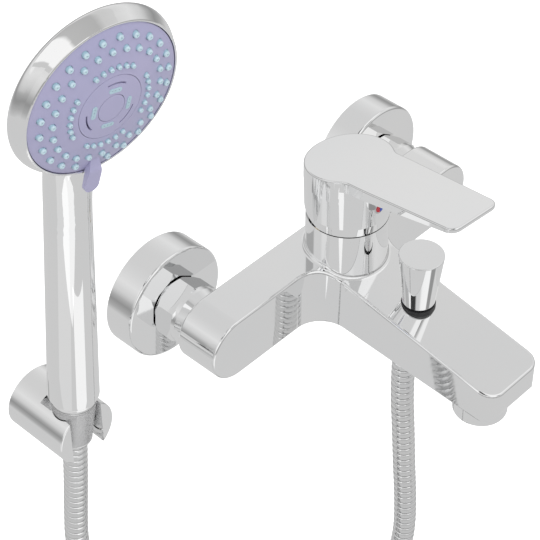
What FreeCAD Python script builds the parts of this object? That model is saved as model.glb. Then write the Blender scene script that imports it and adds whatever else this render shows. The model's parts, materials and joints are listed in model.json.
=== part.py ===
"""Wall-mounted bath and shower mixer set: two-hole mixer with a lever cartridge and a pull diverter,
a flexible metal hose, a hand shower with a turning spray face, and the wall bracket that holds it.

Millimetres. X runs along the wall to the viewer's right, +Y goes into the wall, +Z is up.
The origin is midway between the two wall inlets, on the finished wall.
"""
import FreeCAD, Part
import math
import os

Vector = FreeCAD.Vector
X = Vector(1, 0, 0)
Y = Vector(0, 1, 0)
Z = Vector(0, 0, 1)

# Wall connections
inlet_spacing = 150.0
inlet_thread_radius = 10.48
inlet_tail_length = 13.0
inlet_groove_radius = 9.4
eccentric_offset = 7.5
nose_thread_radius = 13.2
nose_length = 26.5
union_bore_radius = 7.0
rosette_radius = 30.4
rosette_depth = 16.5
rosette_wall = 1.2
rosette_bead = 1.6
union_nut_width = 28.8
union_nut_turn = 4.0
union_nut_hex_length = 11.5
union_nut_collar_radius = 15.4
washer_thickness = 2.0
nipple_radius = 10.0
nipple_flange_thickness = 3.0
fit_gap = 0.05

# Mixer body, a bar with round ends and a tapering spout
bar_half_length = 93.4
bar_half_height = 17.1
bar_back = 36.3
bar_front = 60.8
bar_edge_radius = 1.4
spout_half_width = 19.1
spout_reach = 168.5
spout_slope = 9.73
spout_drop = 2.4
spout_tip_radius = 8.6
spout_chin_radius = 6.0
spout_root_radius = 16.0
spout_tip_height = 18.2
spout_blend = 13.0
collar_radius = 20.4
collar_height = 38.0
collar_flare = 2.0
cartridge_reach = 60.35
channel_radius = 5.5
inlet_channel_reach = 52.0
inlet_channel_drop = 3.0
spout_channel_drop = 9.0
port_radius = 3.6
port_spread = 8.0
port_reach = 54.0
outlet_port_reach = 70.0
outlet_port_radius = 4.5

# Ceramic cartridge, the common 35 mm size
cartridge_radius = 17.5
cartridge_floor = 6.0
cartridge_lift = 1.2
cartridge_top = 33.0
cartridge_wall = 1.6
cartridge_base = 2.0
disc_thickness = 4.0
fixed_disc_radius = 13.4
moving_disc_radius = 12.4
rotor_neck_radius = 12.0
pin_height = 27.0
pin_radius = 1.5
stem_width = 7.8
stem_top = 59.0
dome_radius = 19.3
dome_hole_radius = 10.5

# Lever
lever_gap = 0.6
lever_turn = 4.4
lever_lift_range = 18.0
lever_slope = 10.5
lever_height = 71.1
lever_reach = 80.5
lever_skirt_low_radius = 20.4
lever_skirt_mid_radius = 21.1
lever_cap_radius = 21.6
lever_root_half_width = 16.5
lever_tip_half_width = 14.8
lever_tip_radius = 5.0
lever_root_thickness = 5.6
lever_tip_thickness = 2.1
lever_cavity_radius = 18.7
lever_cavity_top = 60.0
lever_boss_radius = 7.5
index_height = 53.2
index_radius = 3.0

# Diverter
diverter_reach = 107.0
knob_bottom = 8.6
knob_top = 38.4
knob_bottom_radius = 8.0
knob_top_radius = 11.1
diverter_travel = 9.0
diverter_stem_radius = 2.5
chamber_radius = 6.5
chamber_floor = -13.5
bush_radius = 8.4
valve_gap = 0.3
valve_washer_thickness = 1.5
valve_disc_thickness = 2.0
valve_headroom = 3.7

# Spout outlet
aerator_reach = 148.7
aerator_radius = 13.5
aerator_bottom = -35.6
aerator_thread_radius = 10.9
aerator_bore_radius = 9.4

# Shower outlet below the spout and the hose
outlet_reach = 100.5
outlet_thread_length = 6.0
hose_radius = 6.0
hose_bore_radius = 3.4
hose_tail_radius = 6.4
hose_nut_radius = 11.7
hose_nut_end_radius = 8.4
hose_washer_thickness = 1.5
hose_flange_thickness = 1.4
hose_flange_radius = 9.8
rib_pitch = 4.0
rib_depth = 0.5
rib_slope = 0.6
rib_groove = 0.5
coil_radius = 66.8
coil_turns = 2.5
coil_pitch = 12.7
coil_lead = 12.0
coil_centre_x = -74.0
coil_centre_reach = 82.0
coil_drop = 252.0
hose_run_end = 26.0
tie_width = 12.0
tie_thickness = 1.2

# Wall bracket
bracket_x = -153.5
bracket_drop = 16.2
bracket_radius = 16.3
bracket_reach = 36.8
bracket_edge_radius = 0.8
bracket_slit = 19.0
bracket_cavity_radius = 12.6
bracket_cavity_depth = 9.0
plate_thickness = 4.0
bracket_seat_depth = 15.5
bracket_seat_back = 12.6
screw_spacing = 13.0
screw_hole_radius = 2.1

# Hand shower, measured along and across its handle from the handle's foot
handset_reach = 29.8
handset_foot_height = 7.4
handset_tilt = 4.45
handset_turn = 6.1
handle_foot_radius = 12.1
handle_top_radius = 10.3
handle_straight = 115.5
face_along = 193.2
face_forward = 24.8
face_tilt = 3.7
face_radius = 34.6
head_radius = 38.4
head_side = 7.0
head_depth = 18.6
head_back_curve = ((2.7, 3.1), (7.0, 5.5), (14.0, 8.2), (24.0, 10.8))
head_room_curve = ((0.0, -0.5), (2.0, 1.5), (6.4, 3.7), (14.4, 6.4))
face_crown = 6.1
rim_lip = 0.5
rim_front_radius = 35.8
rim_edge_radius = 36.9
rim_edge_depth = 2.0
rim_sleeve_depth = 4.0
rim_gap = 0.25
neck_overlap = 8.0
neck_sections = ((0.0, 0.0, 0.0, 0.0), (15.0, 0.4, 0.1, -0.1), (28.0, 1.8, 0.8, -0.6),
                 (40.0, 4.9, 3.0, -1.6), (52.0, 9.6, 8.0, -3.4), (65.0, 14.4, 13.0, -6.0))
shell_wall = 2.4
cone_nut_top_radius = 11.0
cone_nut_end_radius = 8.3
cone_nut_collar_length = 3.6
cone_nut_collar_step = 0.25
cone_nut_chamfer = 1.0
cone_nut_length = 32.0
cone_nut_gap = 1.0
handset_thread_radius = 9.4
handset_thread_length = 8.5
handset_washer_thickness = 1.8
handset_flange_thickness = 1.8
bore_clearance = 0.3
nozzle_rings = ((30.2, 24, 1.45), (25.3, 24, 1.35))
inner_nozzle_ring = 18.4
inner_group_turn = -5.0
inner_nozzle_radius = 1.1
nozzle_height = 1.4
centre_plate_radius = 14.6
centre_cap_radius = 6.1
plate_gap = 0.2
face_screw_radius = 2.0
face_screw_clearance = 0.1
face_screw_front = 0.65
face_screw_length = 12.35
face_screw_head_radius = 3.4
face_screw_head_length = 1.7
tab_length = 10.4
tab_width = 6.8
tab_turn = -3.2
selector_turn = 11.0
slot_turn = 3.0
pill_turn = 0.0
pill_radius = 8.3
pill_half_length = 3.0
pill_half_width = 1.0
pill_depth = 2.5

axis_z = eccentric_offset
os.makedirs("parts", exist_ok=True)


def save(name, shape):
    """Write one node."""
    shape.exportStep("parts/%s.step" % name)
    print("%-26s solids %2d  volume %9.1f" % (name, len(shape.Solids), shape.Volume))


def cylinder(radius, start, direction, length):
    return Part.makeCylinder(radius, length, start, direction)


def tube(outer, inner, start, direction, length):
    return cylinder(outer, start, direction, length).cut(cylinder(inner, start, direction, length))


def cone(start_radius, end_radius, start, direction, length):
    return Part.makeCone(start_radius, end_radius, length, start, direction)


def block(x0, x1, y0, y1, z0, z1):
    return Part.makeBox(x1 - x0, y1 - y0, z1 - z0, Vector(x0, y0, z0))


def fused(shapes):
    """One clean solid out of overlapping ones."""
    return shapes[0].fuse(shapes[1:]).removeSplitter()


def turned(points, origin=Vector(0, 0, 0)):
    """Solid of revolution about Z from (radius, height) points."""
    corners = [origin + Vector(radius, 0, height) for radius, height in points]
    wire = Part.makePolygon(corners + corners[:1])
    return Part.Face(wire).revolve(origin, Z, 360)


def hexagon(width, start, direction, length):
    """Hexagonal bar, by its width across flats, along Y or Z."""
    circumradius = width / math.sqrt(3.0)
    across = X
    other = direction.cross(across)
    corners = []
    for step in range(7):
        angle = math.radians(60.0 * step + 30.0)
        sideways = across * (circumradius * math.cos(angle))
        corners.append(start + sideways + other * (circumradius * math.sin(angle)))
    return Part.Face(Part.makePolygon(corners)).extrude(direction * length)


def rounded_face(corners, place):
    """Face of a polygon whose corners (u, v, radius) are rounded; place maps (u, v) to space."""
    count = len(corners)
    cuts = []
    for index in range(count):
        here = Vector(corners[index][0], corners[index][1], 0)
        before = Vector(corners[index - 1][0], corners[index - 1][1], 0) - here
        after = Vector(corners[(index + 1) % count][0], corners[(index + 1) % count][1], 0) - here
        before.normalize()
        after.normalize()
        radius = corners[index][2]
        half = before.getAngle(after) / 2.0
        setback = radius / math.tan(half) if radius else 0.0
        bisector = before + after
        if radius:
            bisector.normalize()
            middle = here + bisector * (radius / math.sin(half) - radius)
        else:
            middle = here
        cuts.append((here + before * setback, middle, here + after * setback, radius))
    edges = []
    for index in range(count):
        start, middle, end, radius = cuts[index]
        if radius:
            arc = Part.Arc(place(start.x, start.y), place(middle.x, middle.y), place(end.x, end.y))
            edges.append(arc.toShape())
        following = cuts[(index + 1) % count][0]
        if (following - end).Length > 1e-6:
            edges.append(Part.LineSegment(place(end.x, end.y), place(following.x, following.y)).toShape())
    return Part.Face(Part.Wire(edges))


def softened(shape, edges, radius):
    """Fillet the edges, or leave the shape as it is where there are none."""
    return shape.makeFillet(radius, edges) if edges else shape


def on_axis(reach, height, x=0.0):
    """Point of the mixer, by its reach from the wall and its height over the mixer's axis."""
    return Vector(x, -reach, axis_z + height)


# Wall unions, one at each inlet

def eccentric_union(x):
    tail = cylinder(inlet_thread_radius, Vector(x, inlet_tail_length, 0), -Y, inlet_tail_length + 1.0)
    groove = cylinder(inlet_groove_radius, Vector(x, 0, 0), -Y, 4.0)
    nose = cylinder(nose_thread_radius, on_axis(3.0, 0, x), -Y, nose_length - 3.0)
    web = cylinder(inlet_thread_radius + 1.5, Vector(x, -3.0, eccentric_offset / 2.0), -Y, 3.0)
    solid = fused([tail, groove, web, nose])
    low_bore = cylinder(union_bore_radius, Vector(x, inlet_tail_length + 1.0, 0), -Y,
                        inlet_tail_length + 6.0)
    high_bore = cylinder(union_bore_radius, on_axis(4.5, 0, x), -Y, nose_length)
    return solid.cut(low_bore).cut(high_bore)


def rosette(x):
    profile = rounded_face(
        ((0, 0, 0), (rosette_radius, 0, 0), (rosette_radius, rosette_depth, rosette_bead),
         (0, rosette_depth, 0)),
        lambda u, v: on_axis(v, 0, x + u))
    shell = profile.revolve(on_axis(0, 0, x), Y, 360)
    inside = cylinder(rosette_radius - rosette_wall, on_axis(-1.0, 0, x), -Y,
                      rosette_depth - rosette_wall + 1.0)
    hole = cylinder(nose_thread_radius + fit_gap, on_axis(0, 0, x), -Y, rosette_depth + 1.0)
    return shell.cut(inside).cut(hole)


def filter_washer(x):
    return tube(nose_thread_radius - 0.4, union_bore_radius - 1.0, on_axis(nose_length, 0, x), -Y,
                washer_thickness)


def inlet_nipple(x):
    start = nose_length + washer_thickness
    flange = cylinder(nose_thread_radius - 0.2, on_axis(start, 0, x), -Y, nipple_flange_thickness)
    barrel = cylinder(nipple_radius, on_axis(start, 0, x), -Y, bar_back + 10.0 - start)
    bore = cylinder(union_bore_radius, on_axis(start - 1.0, 0, x), -Y, 40.0)
    return fused([flange, barrel]).cut(bore)


def union_nut(x):
    start = rosette_depth + 0.7
    hex_part = hexagon(union_nut_width, on_axis(start, 0, x), -Y, union_nut_hex_length)
    hex_part.rotate(on_axis(start, 0, x), Y, union_nut_turn)
    trim = cone(union_nut_width / 2.0 + 0.6, union_nut_width / 2.0 + 6.6, on_axis(start, 0, x), -Y, 6.0)
    trim = trim.fuse(cylinder(union_nut_width / 2.0 + 6.6, on_axis(start + 6.0, 0, x), -Y, 8.0))
    hex_part = hex_part.common(trim)
    collar_start = start + union_nut_hex_length
    collar_length = bar_back - 0.4 - collar_start
    collar = cone(union_nut_collar_radius, union_nut_collar_radius - 1.4,
                  on_axis(collar_start + 2.0, 0, x), -Y, collar_length - 2.0)
    collar = collar.fuse(cylinder(union_nut_collar_radius, on_axis(collar_start - 0.5, 0, x), -Y, 2.5))
    nut = fused([hex_part, collar])
    thread_end = nose_length + washer_thickness + nipple_flange_thickness
    thread = cylinder(nose_thread_radius + fit_gap, on_axis(start - 1.0, 0, x), -Y,
                      thread_end - start + 1.0)
    passage = cylinder(nipple_radius + 0.2, on_axis(start, 0, x), -Y, 30.0)
    return nut.cut(thread).cut(passage)


# Mixer body with its waterways

def spout_top(reach):
    """Height of the spout's sloping top over the mixer's axis."""
    return bar_half_height - spout_drop - math.tan(math.radians(spout_slope)) * (reach - bar_front)


def bar():
    corners = []
    for side_x, side_z in ((-1, -1), (1, -1), (1, 1), (-1, 1)):
        corners.append((side_x * bar_half_length, side_z * bar_half_height, bar_half_height - 0.01))
    outline = rounded_face(corners, lambda u, v: on_axis(bar_back, v, u))
    return outline.extrude(-Y * (bar_front - bar_back))


def spout_plan(height):
    """Face of the spout's outline seen from above, at a height over the mixer's axis."""
    back = bar_back + 6.0
    wide = spout_half_width + spout_root_radius
    half = ((-wide, back, 0), (-wide, bar_front, 0), (-spout_half_width, bar_front, spout_root_radius),
            (-spout_half_width, spout_reach, spout_tip_radius))
    mirrored = [(-u, v, radius) for u, v, radius in reversed(half)]
    return rounded_face(list(half) + mirrored, lambda u, v: on_axis(v, height, u))


def spout():
    back = bar_back + 6.0
    plan = spout_plan(-40.0).extrude(Z * 80.0)
    tip_top = spout_top(spout_reach)
    tip_bottom = tip_top - spout_tip_height
    side = rounded_face(
        ((back, bar_half_height, 0), (bar_front + 3.4, bar_half_height, 14.0),
         (bar_front + spout_blend, spout_top(bar_front + spout_blend), 26.0), (spout_reach, tip_top, 0.0),
         (spout_reach, tip_bottom, 0.0), (bar_front, -bar_half_height, 0.0), (back, -bar_half_height, 0)),
        lambda u, v: on_axis(u, v, -60.0))
    return plan.common(side.extrude(X * 120.0))


def chin_waste():
    """What is cut away to round the spout's lower front edge."""
    low = spout_bottom(spout_reach)
    high = low + spout_chin_radius + 2.0
    side = rounded_face(((bar_front, -bar_half_height, 0), (spout_reach, low, spout_chin_radius),
                         (spout_reach, high, 0), (bar_front, high, 0)),
                        lambda u, v: on_axis(u, v, -spout_half_width - 5.0))
    kept = side.extrude(X * 2.0 * (spout_half_width + 5.0))
    corner = block(-spout_half_width - 4.0, spout_half_width + 4.0, -spout_reach - 1.0,
                   -spout_reach + spout_chin_radius + 3.0, axis_z + low - 3.0, axis_z + high)
    return corner.cut(kept)


def body_rims(solid):
    """Edges round the front of the bar and the spout, above and below, and round the bar's back."""
    outline = spout_plan(0.0).OuterWire
    rims = []
    for edge in solid.Edges:
        box = edge.BoundBox
        middle = edge.valueAt((edge.FirstParameter + edge.LastParameter) / 2.0)
        flat = Vector(middle.x, middle.y, axis_z)
        upright = box.XLength + box.YLength < 1e-3
        on_end = abs(middle.y + bar_back) < 1e-3 or abs(middle.y + bar_front) < 1e-3
        on_bar = box.YLength < 1e-3 and on_end
        on_spout = middle.y < -bar_front - 0.05 and Part.Vertex(flat).distToShape(outline)[0] < 1e-3
        if not upright and (on_bar or on_spout):
            rims.append(edge)
    return rims


def mixer_body():
    solid = fused([bar(), spout()])
    solid = softened(solid, body_rims(solid), bar_edge_radius).cut(chin_waste())
    solid = solid.fuse(cylinder(collar_radius, on_axis(cartridge_reach, 0), Z,
                                collar_height)).removeSplitter()
    foot = []
    for edge in solid.Edges:
        box = edge.BoundBox
        low = box.ZMax < axis_z + bar_half_height + 1.0 and box.ZMin > axis_z + 5.0
        middle = edge.valueAt((edge.FirstParameter + edge.LastParameter) / 2.0)
        away = math.hypot(middle.x, middle.y + cartridge_reach)
        if low and abs(away - collar_radius) < 0.05:
            foot.append(edge)
    solid = softened(solid, foot, collar_flare)
    boss_top = -bar_half_height + 2.0
    boss = cylinder(inlet_thread_radius, on_axis(outlet_reach, boss_top), -Z, boss_top - hose_seat())
    solid = solid.fuse(boss)
    return carve_waterways(solid)


def hose_seat():
    """Height where the shower outlet's thread ends over the mixer's axis."""
    return spout_bottom(outlet_reach) - outlet_thread_length


def spout_bottom(reach):
    """Height of the spout's underside over the mixer's axis."""
    tip_bottom = spout_top(spout_reach) - spout_tip_height
    share = (reach - bar_front) / (spout_reach - bar_front)
    return -bar_half_height + share * (tip_bottom + bar_half_height)


def carve_waterways(solid):
    cuts = [cylinder(cartridge_radius + 0.1, on_axis(cartridge_reach, cartridge_floor), Z, 60.0),
            cylinder(nut_radius() + fit_gap, on_axis(cartridge_reach, cartridge_top), Z, 60.0)]
    for side in (-1, 1):
        x = side * inlet_spacing / 2.0
        cuts.append(cylinder(nipple_radius + fit_gap, on_axis(bar_back - 1.0, 0, x), -Y, 11.2))
        cuts.append(cylinder(union_bore_radius, on_axis(bar_back, 0, x), -Y,
                             inlet_channel_reach - bar_back + 2.0))
        start = on_axis(inlet_channel_reach, -inlet_channel_drop, side * 4.5)
        cuts.append(cylinder(channel_radius, start, X * side, inlet_spacing / 2.0 - 4.5))
        cuts.append(cylinder(port_radius, on_axis(port_reach, -inlet_channel_drop, side * port_spread), Z,
                             12.0))
    cuts.append(cylinder(outlet_port_radius, on_axis(outlet_port_reach, -spout_channel_drop), Z, 20.0))
    start = on_axis(outlet_port_reach - 4.0, -spout_channel_drop)
    cuts.append(cylinder(channel_radius, start, -Y, aerator_reach - outlet_port_reach + 4.0))
    cuts.append(cylinder(aerator_thread_radius + fit_gap, on_axis(aerator_reach, -40.0), Z,
                         40.0 + aerator_shelf()))
    cuts.append(cylinder(chamber_radius, on_axis(diverter_reach, chamber_floor), Z, 40.0))
    cuts.append(cylinder(bush_radius + fit_gap, on_axis(diverter_reach, bush_seat()), Z, 40.0))
    cuts.append(cylinder(channel_radius, on_axis(outlet_reach, -60.0), Z, 60.0 - spout_channel_drop))
    for cut in cuts:
        solid = solid.cut(cut)
    return solid


def nut_radius():
    """Outer radius of the cartridge nut, threaded in the collar's mouth."""
    return cartridge_radius + 1.0


def aerator_shelf():
    """Height of the shelf that the aerator's gasket seals on, over the mixer's axis."""
    return spout_top(aerator_reach) - 8.0


# Cartridge

def port_holes(radius, bottom, height):
    """The three water ports of the cartridge as cutting cylinders."""
    holes = [cylinder(radius, on_axis(outlet_port_reach, bottom), Z, height)]
    for side in (-1, 1):
        holes.append(cylinder(radius, on_axis(port_reach, bottom, side * port_spread), Z, height))
    return holes


def cut_all(solid, tools):
    for tool in tools:
        solid = solid.cut(tool)
    return solid


def housing_floor():
    return cartridge_floor + cartridge_lift


def disc_bottom():
    return housing_floor() + cartridge_base


def disc_joint():
    return disc_bottom() + disc_thickness


def cartridge_housing():
    centre = on_axis(cartridge_reach, housing_floor())
    solid = cylinder(cartridge_radius, centre, Z, cartridge_top - housing_floor())
    inside_height = cartridge_top - cartridge_base - housing_floor() - 2.2
    solid = solid.cut(cylinder(cartridge_radius - cartridge_wall, centre + Z * cartridge_base, Z,
                               inside_height))
    solid = solid.cut(cylinder(rotor_neck_radius + 0.08, centre, Z, 60.0).cut(
        cylinder(rotor_neck_radius + 1.0, centre, Z, cartridge_base)))
    return cut_all(solid, port_holes(port_radius, housing_floor() - 1.0, cartridge_base + 2.0))


def base_seals():
    rings = []
    height = cartridge_floor + cartridge_lift / 2.0
    for x, reach in ((0.0, outlet_port_reach), (-port_spread, port_reach), (port_spread, port_reach)):
        rings.append(Part.makeTorus(port_radius + 1.5, cartridge_lift / 2.0, on_axis(reach, height, x)))
    return Part.makeCompound(rings)


def fixed_disc():
    solid = cylinder(fixed_disc_radius, on_axis(cartridge_reach, disc_bottom()), Z, disc_thickness)
    return cut_all(solid, port_holes(port_radius - 0.4, disc_bottom() - 1.0, disc_thickness + 2.0))


def moving_disc():
    centre = on_axis(cartridge_reach, disc_joint() + fit_gap)
    solid = cylinder(moving_disc_radius, centre + Y * 1.8, Z, disc_thickness)
    pocket = cylinder(2.9, centre + Z * 1.2, Z, 10.0)
    mixing_hollow = cylinder(5.0, centre - Z + Y * 5.5, Z, 2.2)
    return turned_with_lever(solid.cut(pocket).cut(mixing_hollow))


def turned_with_lever(shape):
    """Turn a piece of the lever group about the cartridge axis to where the lever stands."""
    placed = shape.copy()
    placed.rotate(on_axis(cartridge_reach, 0), Z, -lever_turn)
    return placed


def rotor():
    low = disc_joint() + disc_thickness + 1.6
    high = cartridge_top - 2.2 - 0.1
    flange = cylinder(cartridge_radius - cartridge_wall - 0.08, on_axis(cartridge_reach, low), Z,
                      high - low)
    neck = cylinder(rotor_neck_radius, on_axis(cartridge_reach, low), Z, cartridge_top + 3.5 - low)
    slot = block(-stem_width / 2.0 - 0.1, stem_width / 2.0 + 0.1, -cartridge_reach - 9.0,
                 -cartridge_reach + 9.0,
                 axis_z + low - 1.0, axis_z + cartridge_top + 10.0)
    pin_hole = cylinder(pin_radius, on_axis(cartridge_reach, pin_height, -20.0), X, 40.0)
    return turned_with_lever(fused([flange, neck]).cut(slot).cut(pin_hole))


def stem_pin():
    return turned_with_lever(cylinder(pin_radius, on_axis(cartridge_reach, pin_height, -13.0), X, 26.0))


def lever_stem():
    half = stem_width / 2.0
    upper = block(-half, half, -cartridge_reach - half, -cartridge_reach + half,
                  axis_z + pin_height - 5.0, axis_z + stem_top)
    ball_height = disc_joint() + fit_gap + 1.4 + 2.6
    lower = cylinder(2.4, on_axis(cartridge_reach, ball_height), Z, pin_height - 4.0 - ball_height)
    ball = Part.makeSphere(2.6, on_axis(cartridge_reach, ball_height))
    pin_hole = cylinder(pin_radius + fit_gap, on_axis(cartridge_reach, pin_height, -20.0), X, 40.0)
    return turned_with_lever(fused([upper, lower, ball]).cut(pin_hole))


def cartridge_nut():
    solid = tube(nut_radius(), rotor_neck_radius + 1.5, on_axis(cartridge_reach, cartridge_top), Z,
                 collar_height - cartridge_top)
    for step in range(4):
        notch = block(-1.5, 1.5, -cartridge_reach - rotor_neck_radius - 3.5,
                      -cartridge_reach - rotor_neck_radius,
                      axis_z + collar_height - 2.0, axis_z + collar_height + 1.0)
        notch.rotate(on_axis(cartridge_reach, 0), Z, 45.0 + 90.0 * step)
        solid = solid.cut(notch)
    return solid


def dome_ring():
    centre = on_axis(cartridge_reach, pin_height)
    shell = Part.makeSphere(dome_radius, centre).cut(Part.makeSphere(dome_radius - 1.8, centre))
    keep = cylinder(dome_radius + 2.0, on_axis(cartridge_reach, collar_height), Z, 30.0)
    shell = shell.common(keep)
    foot = tube(dome_radius - 2.3, rotor_neck_radius + 1.8, on_axis(cartridge_reach, collar_height), Z, 1.2)
    hole = cylinder(dome_hole_radius, centre, Z, 40.0)
    return fused([shell, foot]).cut(hole)


# Lever

def lever_top(forward):
    """Height of the lever's flat top over the mixer's axis, at a distance in front of the cartridge."""
    return lever_height + math.tan(math.radians(lever_slope)) * forward


def lever():
    skirt_low = collar_height + lever_gap
    profile = ((0, skirt_low), (lever_skirt_low_radius, skirt_low),
               (lever_skirt_mid_radius, skirt_low + 5.0),
               (lever_cap_radius, lever_height - 8.0), (lever_cap_radius, 100.0), (0, 100.0))
    skirt = turned(profile, on_axis(cartridge_reach, 0))
    root = lever_root_half_width
    tip = lever_tip_half_width
    plate_plan = rounded_face(
        ((-root, 0, 0), (-root, 25.0, 30.0), (-tip, lever_reach, lever_tip_radius),
         (tip, lever_reach, lever_tip_radius), (root, 25.0, 30.0), (root, 0, 0)),
        lambda u, v: on_axis(cartridge_reach + v, 40.0, u))
    plate = plate_plan.extrude(Z * 60.0)
    cap = cylinder(lever_cap_radius, on_axis(cartridge_reach, 40.0), Z, 60.0)
    blade = plate.fuse(cap).removeSplitter()
    inner_corners = []
    for edge in blade.Edges:
        box = edge.BoundBox
        upright = box.XLength < 1e-3 and box.YLength < 1e-3
        if upright and -cartridge_reach - 20.0 < box.YMin < -cartridge_reach - 5.0:
            inner_corners.append(edge)
    blade = softened(blade, inner_corners, 9.0)
    root = 10.0
    side = rounded_face(
        ((-lever_cap_radius - 1.0, lever_top(-lever_cap_radius - 1.0), 0),
         (-lever_cap_radius - 1.0, lever_cavity_top, 0), (root, lever_cavity_top, 0),
         (root, lever_top(root) - lever_root_thickness - 0.6, 0),
         (30.0, lever_top(30.0) - lever_root_thickness, 20.0),
         (lever_reach + 1.0, lever_top(lever_reach) - lever_tip_thickness, 0),
         (lever_reach + 1.0, lever_top(lever_reach + 1.0), 0)),
        lambda u, v: on_axis(cartridge_reach + u, v, -40.0))
    blade = blade.common(side.extrude(X * 80.0))
    top_cut = rounded_face(
        ((-40.0, lever_top(-40.0), 0), (100.0, lever_top(100.0), 0), (100.0, 130.0, 0), (-40.0, 130.0, 0)),
        lambda u, v: on_axis(cartridge_reach + u, v, -40.0)).extrude(X * 80.0)
    skirt = skirt.cut(top_cut)
    solid = fused([skirt, blade])
    rims = []
    for edge in solid.Edges:
        box = edge.BoundBox
        middle = edge.valueAt((edge.FirstParameter + edge.LastParameter) / 2.0)
        off_top = abs(middle.z - axis_z - lever_top(-middle.y - cartridge_reach))
        if off_top < 0.02 and box.XLength + box.YLength > 1:
            rims.append(edge)
    solid = softened(solid, rims, 0.9)
    return turned_with_lever(hollow_lever(solid))


def hollow_lever(solid):
    skirt_low = collar_height + lever_gap
    centre = on_axis(cartridge_reach, 0)
    room = cylinder(lever_cavity_radius, centre + Z * (skirt_low - 1.0), Z,
                    lever_cavity_top - skirt_low + 1.0)
    boss_bottom = pin_height + dome_radius + 1.7
    boss = cylinder(lever_boss_radius, centre + Z * boss_bottom, Z, lever_cavity_top - boss_bottom)
    half = stem_width / 2.0 + fit_gap
    socket = block(-half, half, -cartridge_reach - half, -cartridge_reach + half,
                   axis_z + boss_bottom - 1.0, axis_z + stem_top + 0.3)
    screw_hole = cylinder(2.5, on_axis(cartridge_reach, index_height), -Y, lever_cap_radius)
    plug_hole = cylinder(index_radius + fit_gap,
                         on_axis(cartridge_reach + lever_boss_radius + 1.0, index_height),
                         -Y, 30.0)
    solid = solid.cut(room.cut(boss)).cut(socket).cut(screw_hole).cut(plug_hole)
    # The skirt's rear is cut back so that it clears the collar when the lever is raised.
    angle = math.radians(lever_lift_range + 0.5)
    clear = collar_height - pin_height + 0.35
    near = (clear / math.cos(angle) + pin_height, 0.0)
    far = ((clear + 40.0 * math.sin(angle)) / math.cos(angle) + pin_height, -40.0)
    start = (skirt_low - near[0]) / (far[0] - near[0]) * far[1]
    relief = rounded_face(
        ((start, skirt_low, 0), (far[1], far[0], 0), (far[1], skirt_low - 5.0, 0),
         (start, skirt_low - 5.0, 0)),
        lambda u, v: on_axis(cartridge_reach + u, v, -40.0)).extrude(X * 80.0)
    return solid.cut(relief)


def lever_screw():
    start = stem_width / 2.0 + fit_gap
    solid = cylinder(2.45, on_axis(cartridge_reach + start, index_height), -Y, 6.0)
    socket = hexagon(2.5, on_axis(cartridge_reach + start + 3.0, index_height), -Y, 4.0)
    return turned_with_lever(solid.cut(socket))


def index_plug():
    start = lever_cavity_radius - 1.5
    length = lever_cap_radius - 0.4 - start
    solid = cylinder(index_radius, on_axis(cartridge_reach + start, index_height), -Y, length)
    return turned_with_lever(solid)


def index_marks():
    start = on_axis(cartridge_reach + lever_cap_radius - 0.4, index_height)
    disc = cylinder(index_radius - 0.7, start, -Y, 0.3)
    halves = []
    for side in (-1, 1):
        window = block(min(0.1 * side, 5.0 * side), max(0.1 * side, 5.0 * side), -200.0, 0.0, 0.0, 120.0)
        halves.append(disc.common(window))
    return turned_with_lever(Part.makeCompound(halves))


# Diverter

def bush_seat():
    """Height of the step that the diverter's bush stands on, above the valve at the top of its travel."""
    valve = valve_washer_thickness + valve_disc_thickness
    return valve_bottom() + valve + diverter_travel + valve_headroom


def diverter_bush():
    start = bush_seat() + fit_gap
    solid = cylinder(bush_radius, on_axis(diverter_reach, start), Z, knob_bottom - 0.6 - start)
    return solid.cut(cylinder(diverter_stem_radius + 0.08, on_axis(diverter_reach, 0), Z, 20.0))


def diverter_knob():
    profile = rounded_face(
        ((0, knob_bottom, 0), (knob_bottom_radius, knob_bottom, 1.0), (knob_top_radius, knob_top, 0.5),
         (0, knob_top, 0)), lambda u, v: on_axis(diverter_reach, v, u))
    solid = profile.revolve(on_axis(diverter_reach, 0), Z, 360)
    return solid.cut(cylinder(diverter_stem_radius, on_axis(diverter_reach, 0), Z, knob_bottom + 13.0))


def valve_bottom():
    return chamber_floor + valve_gap


def diverter_stem():
    bottom = valve_bottom() + valve_washer_thickness
    return cylinder(diverter_stem_radius, on_axis(diverter_reach, bottom), Z, knob_bottom + 13.0 - bottom)


def diverter_disc():
    bottom = valve_bottom() + valve_washer_thickness
    solid = cylinder(chamber_radius - 0.6, on_axis(diverter_reach, bottom), Z, valve_disc_thickness)
    return solid.cut(cylinder(diverter_stem_radius, on_axis(diverter_reach, valve_bottom()), Z, 10.0))


def diverter_washer():
    return cylinder(chamber_radius - 0.9, on_axis(diverter_reach, valve_bottom()), Z,
                    valve_washer_thickness)


# Aerator

def aerator_housing():
    seat = spout_bottom(aerator_reach) - 0.6
    ring = cylinder(aerator_radius, on_axis(aerator_reach, aerator_bottom), Z, seat - aerator_bottom)
    rim = [edge for edge in ring.Edges if edge.BoundBox.ZMax < axis_z + aerator_bottom + 0.1]
    ring = softened(ring, rim, 1.0)
    thread = cylinder(aerator_thread_radius, on_axis(aerator_reach, seat - 1.0), Z,
                      aerator_shelf() - 1.6 - seat + 1.0)
    bore = cylinder(aerator_bore_radius, on_axis(aerator_reach, aerator_bottom + 1.6), Z, 60.0)
    mouth = cylinder(aerator_bore_radius - 1.0, on_axis(aerator_reach, aerator_bottom - 1.0), Z, 10.0)
    return fused([ring, thread]).cut(bore).cut(mouth)


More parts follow.
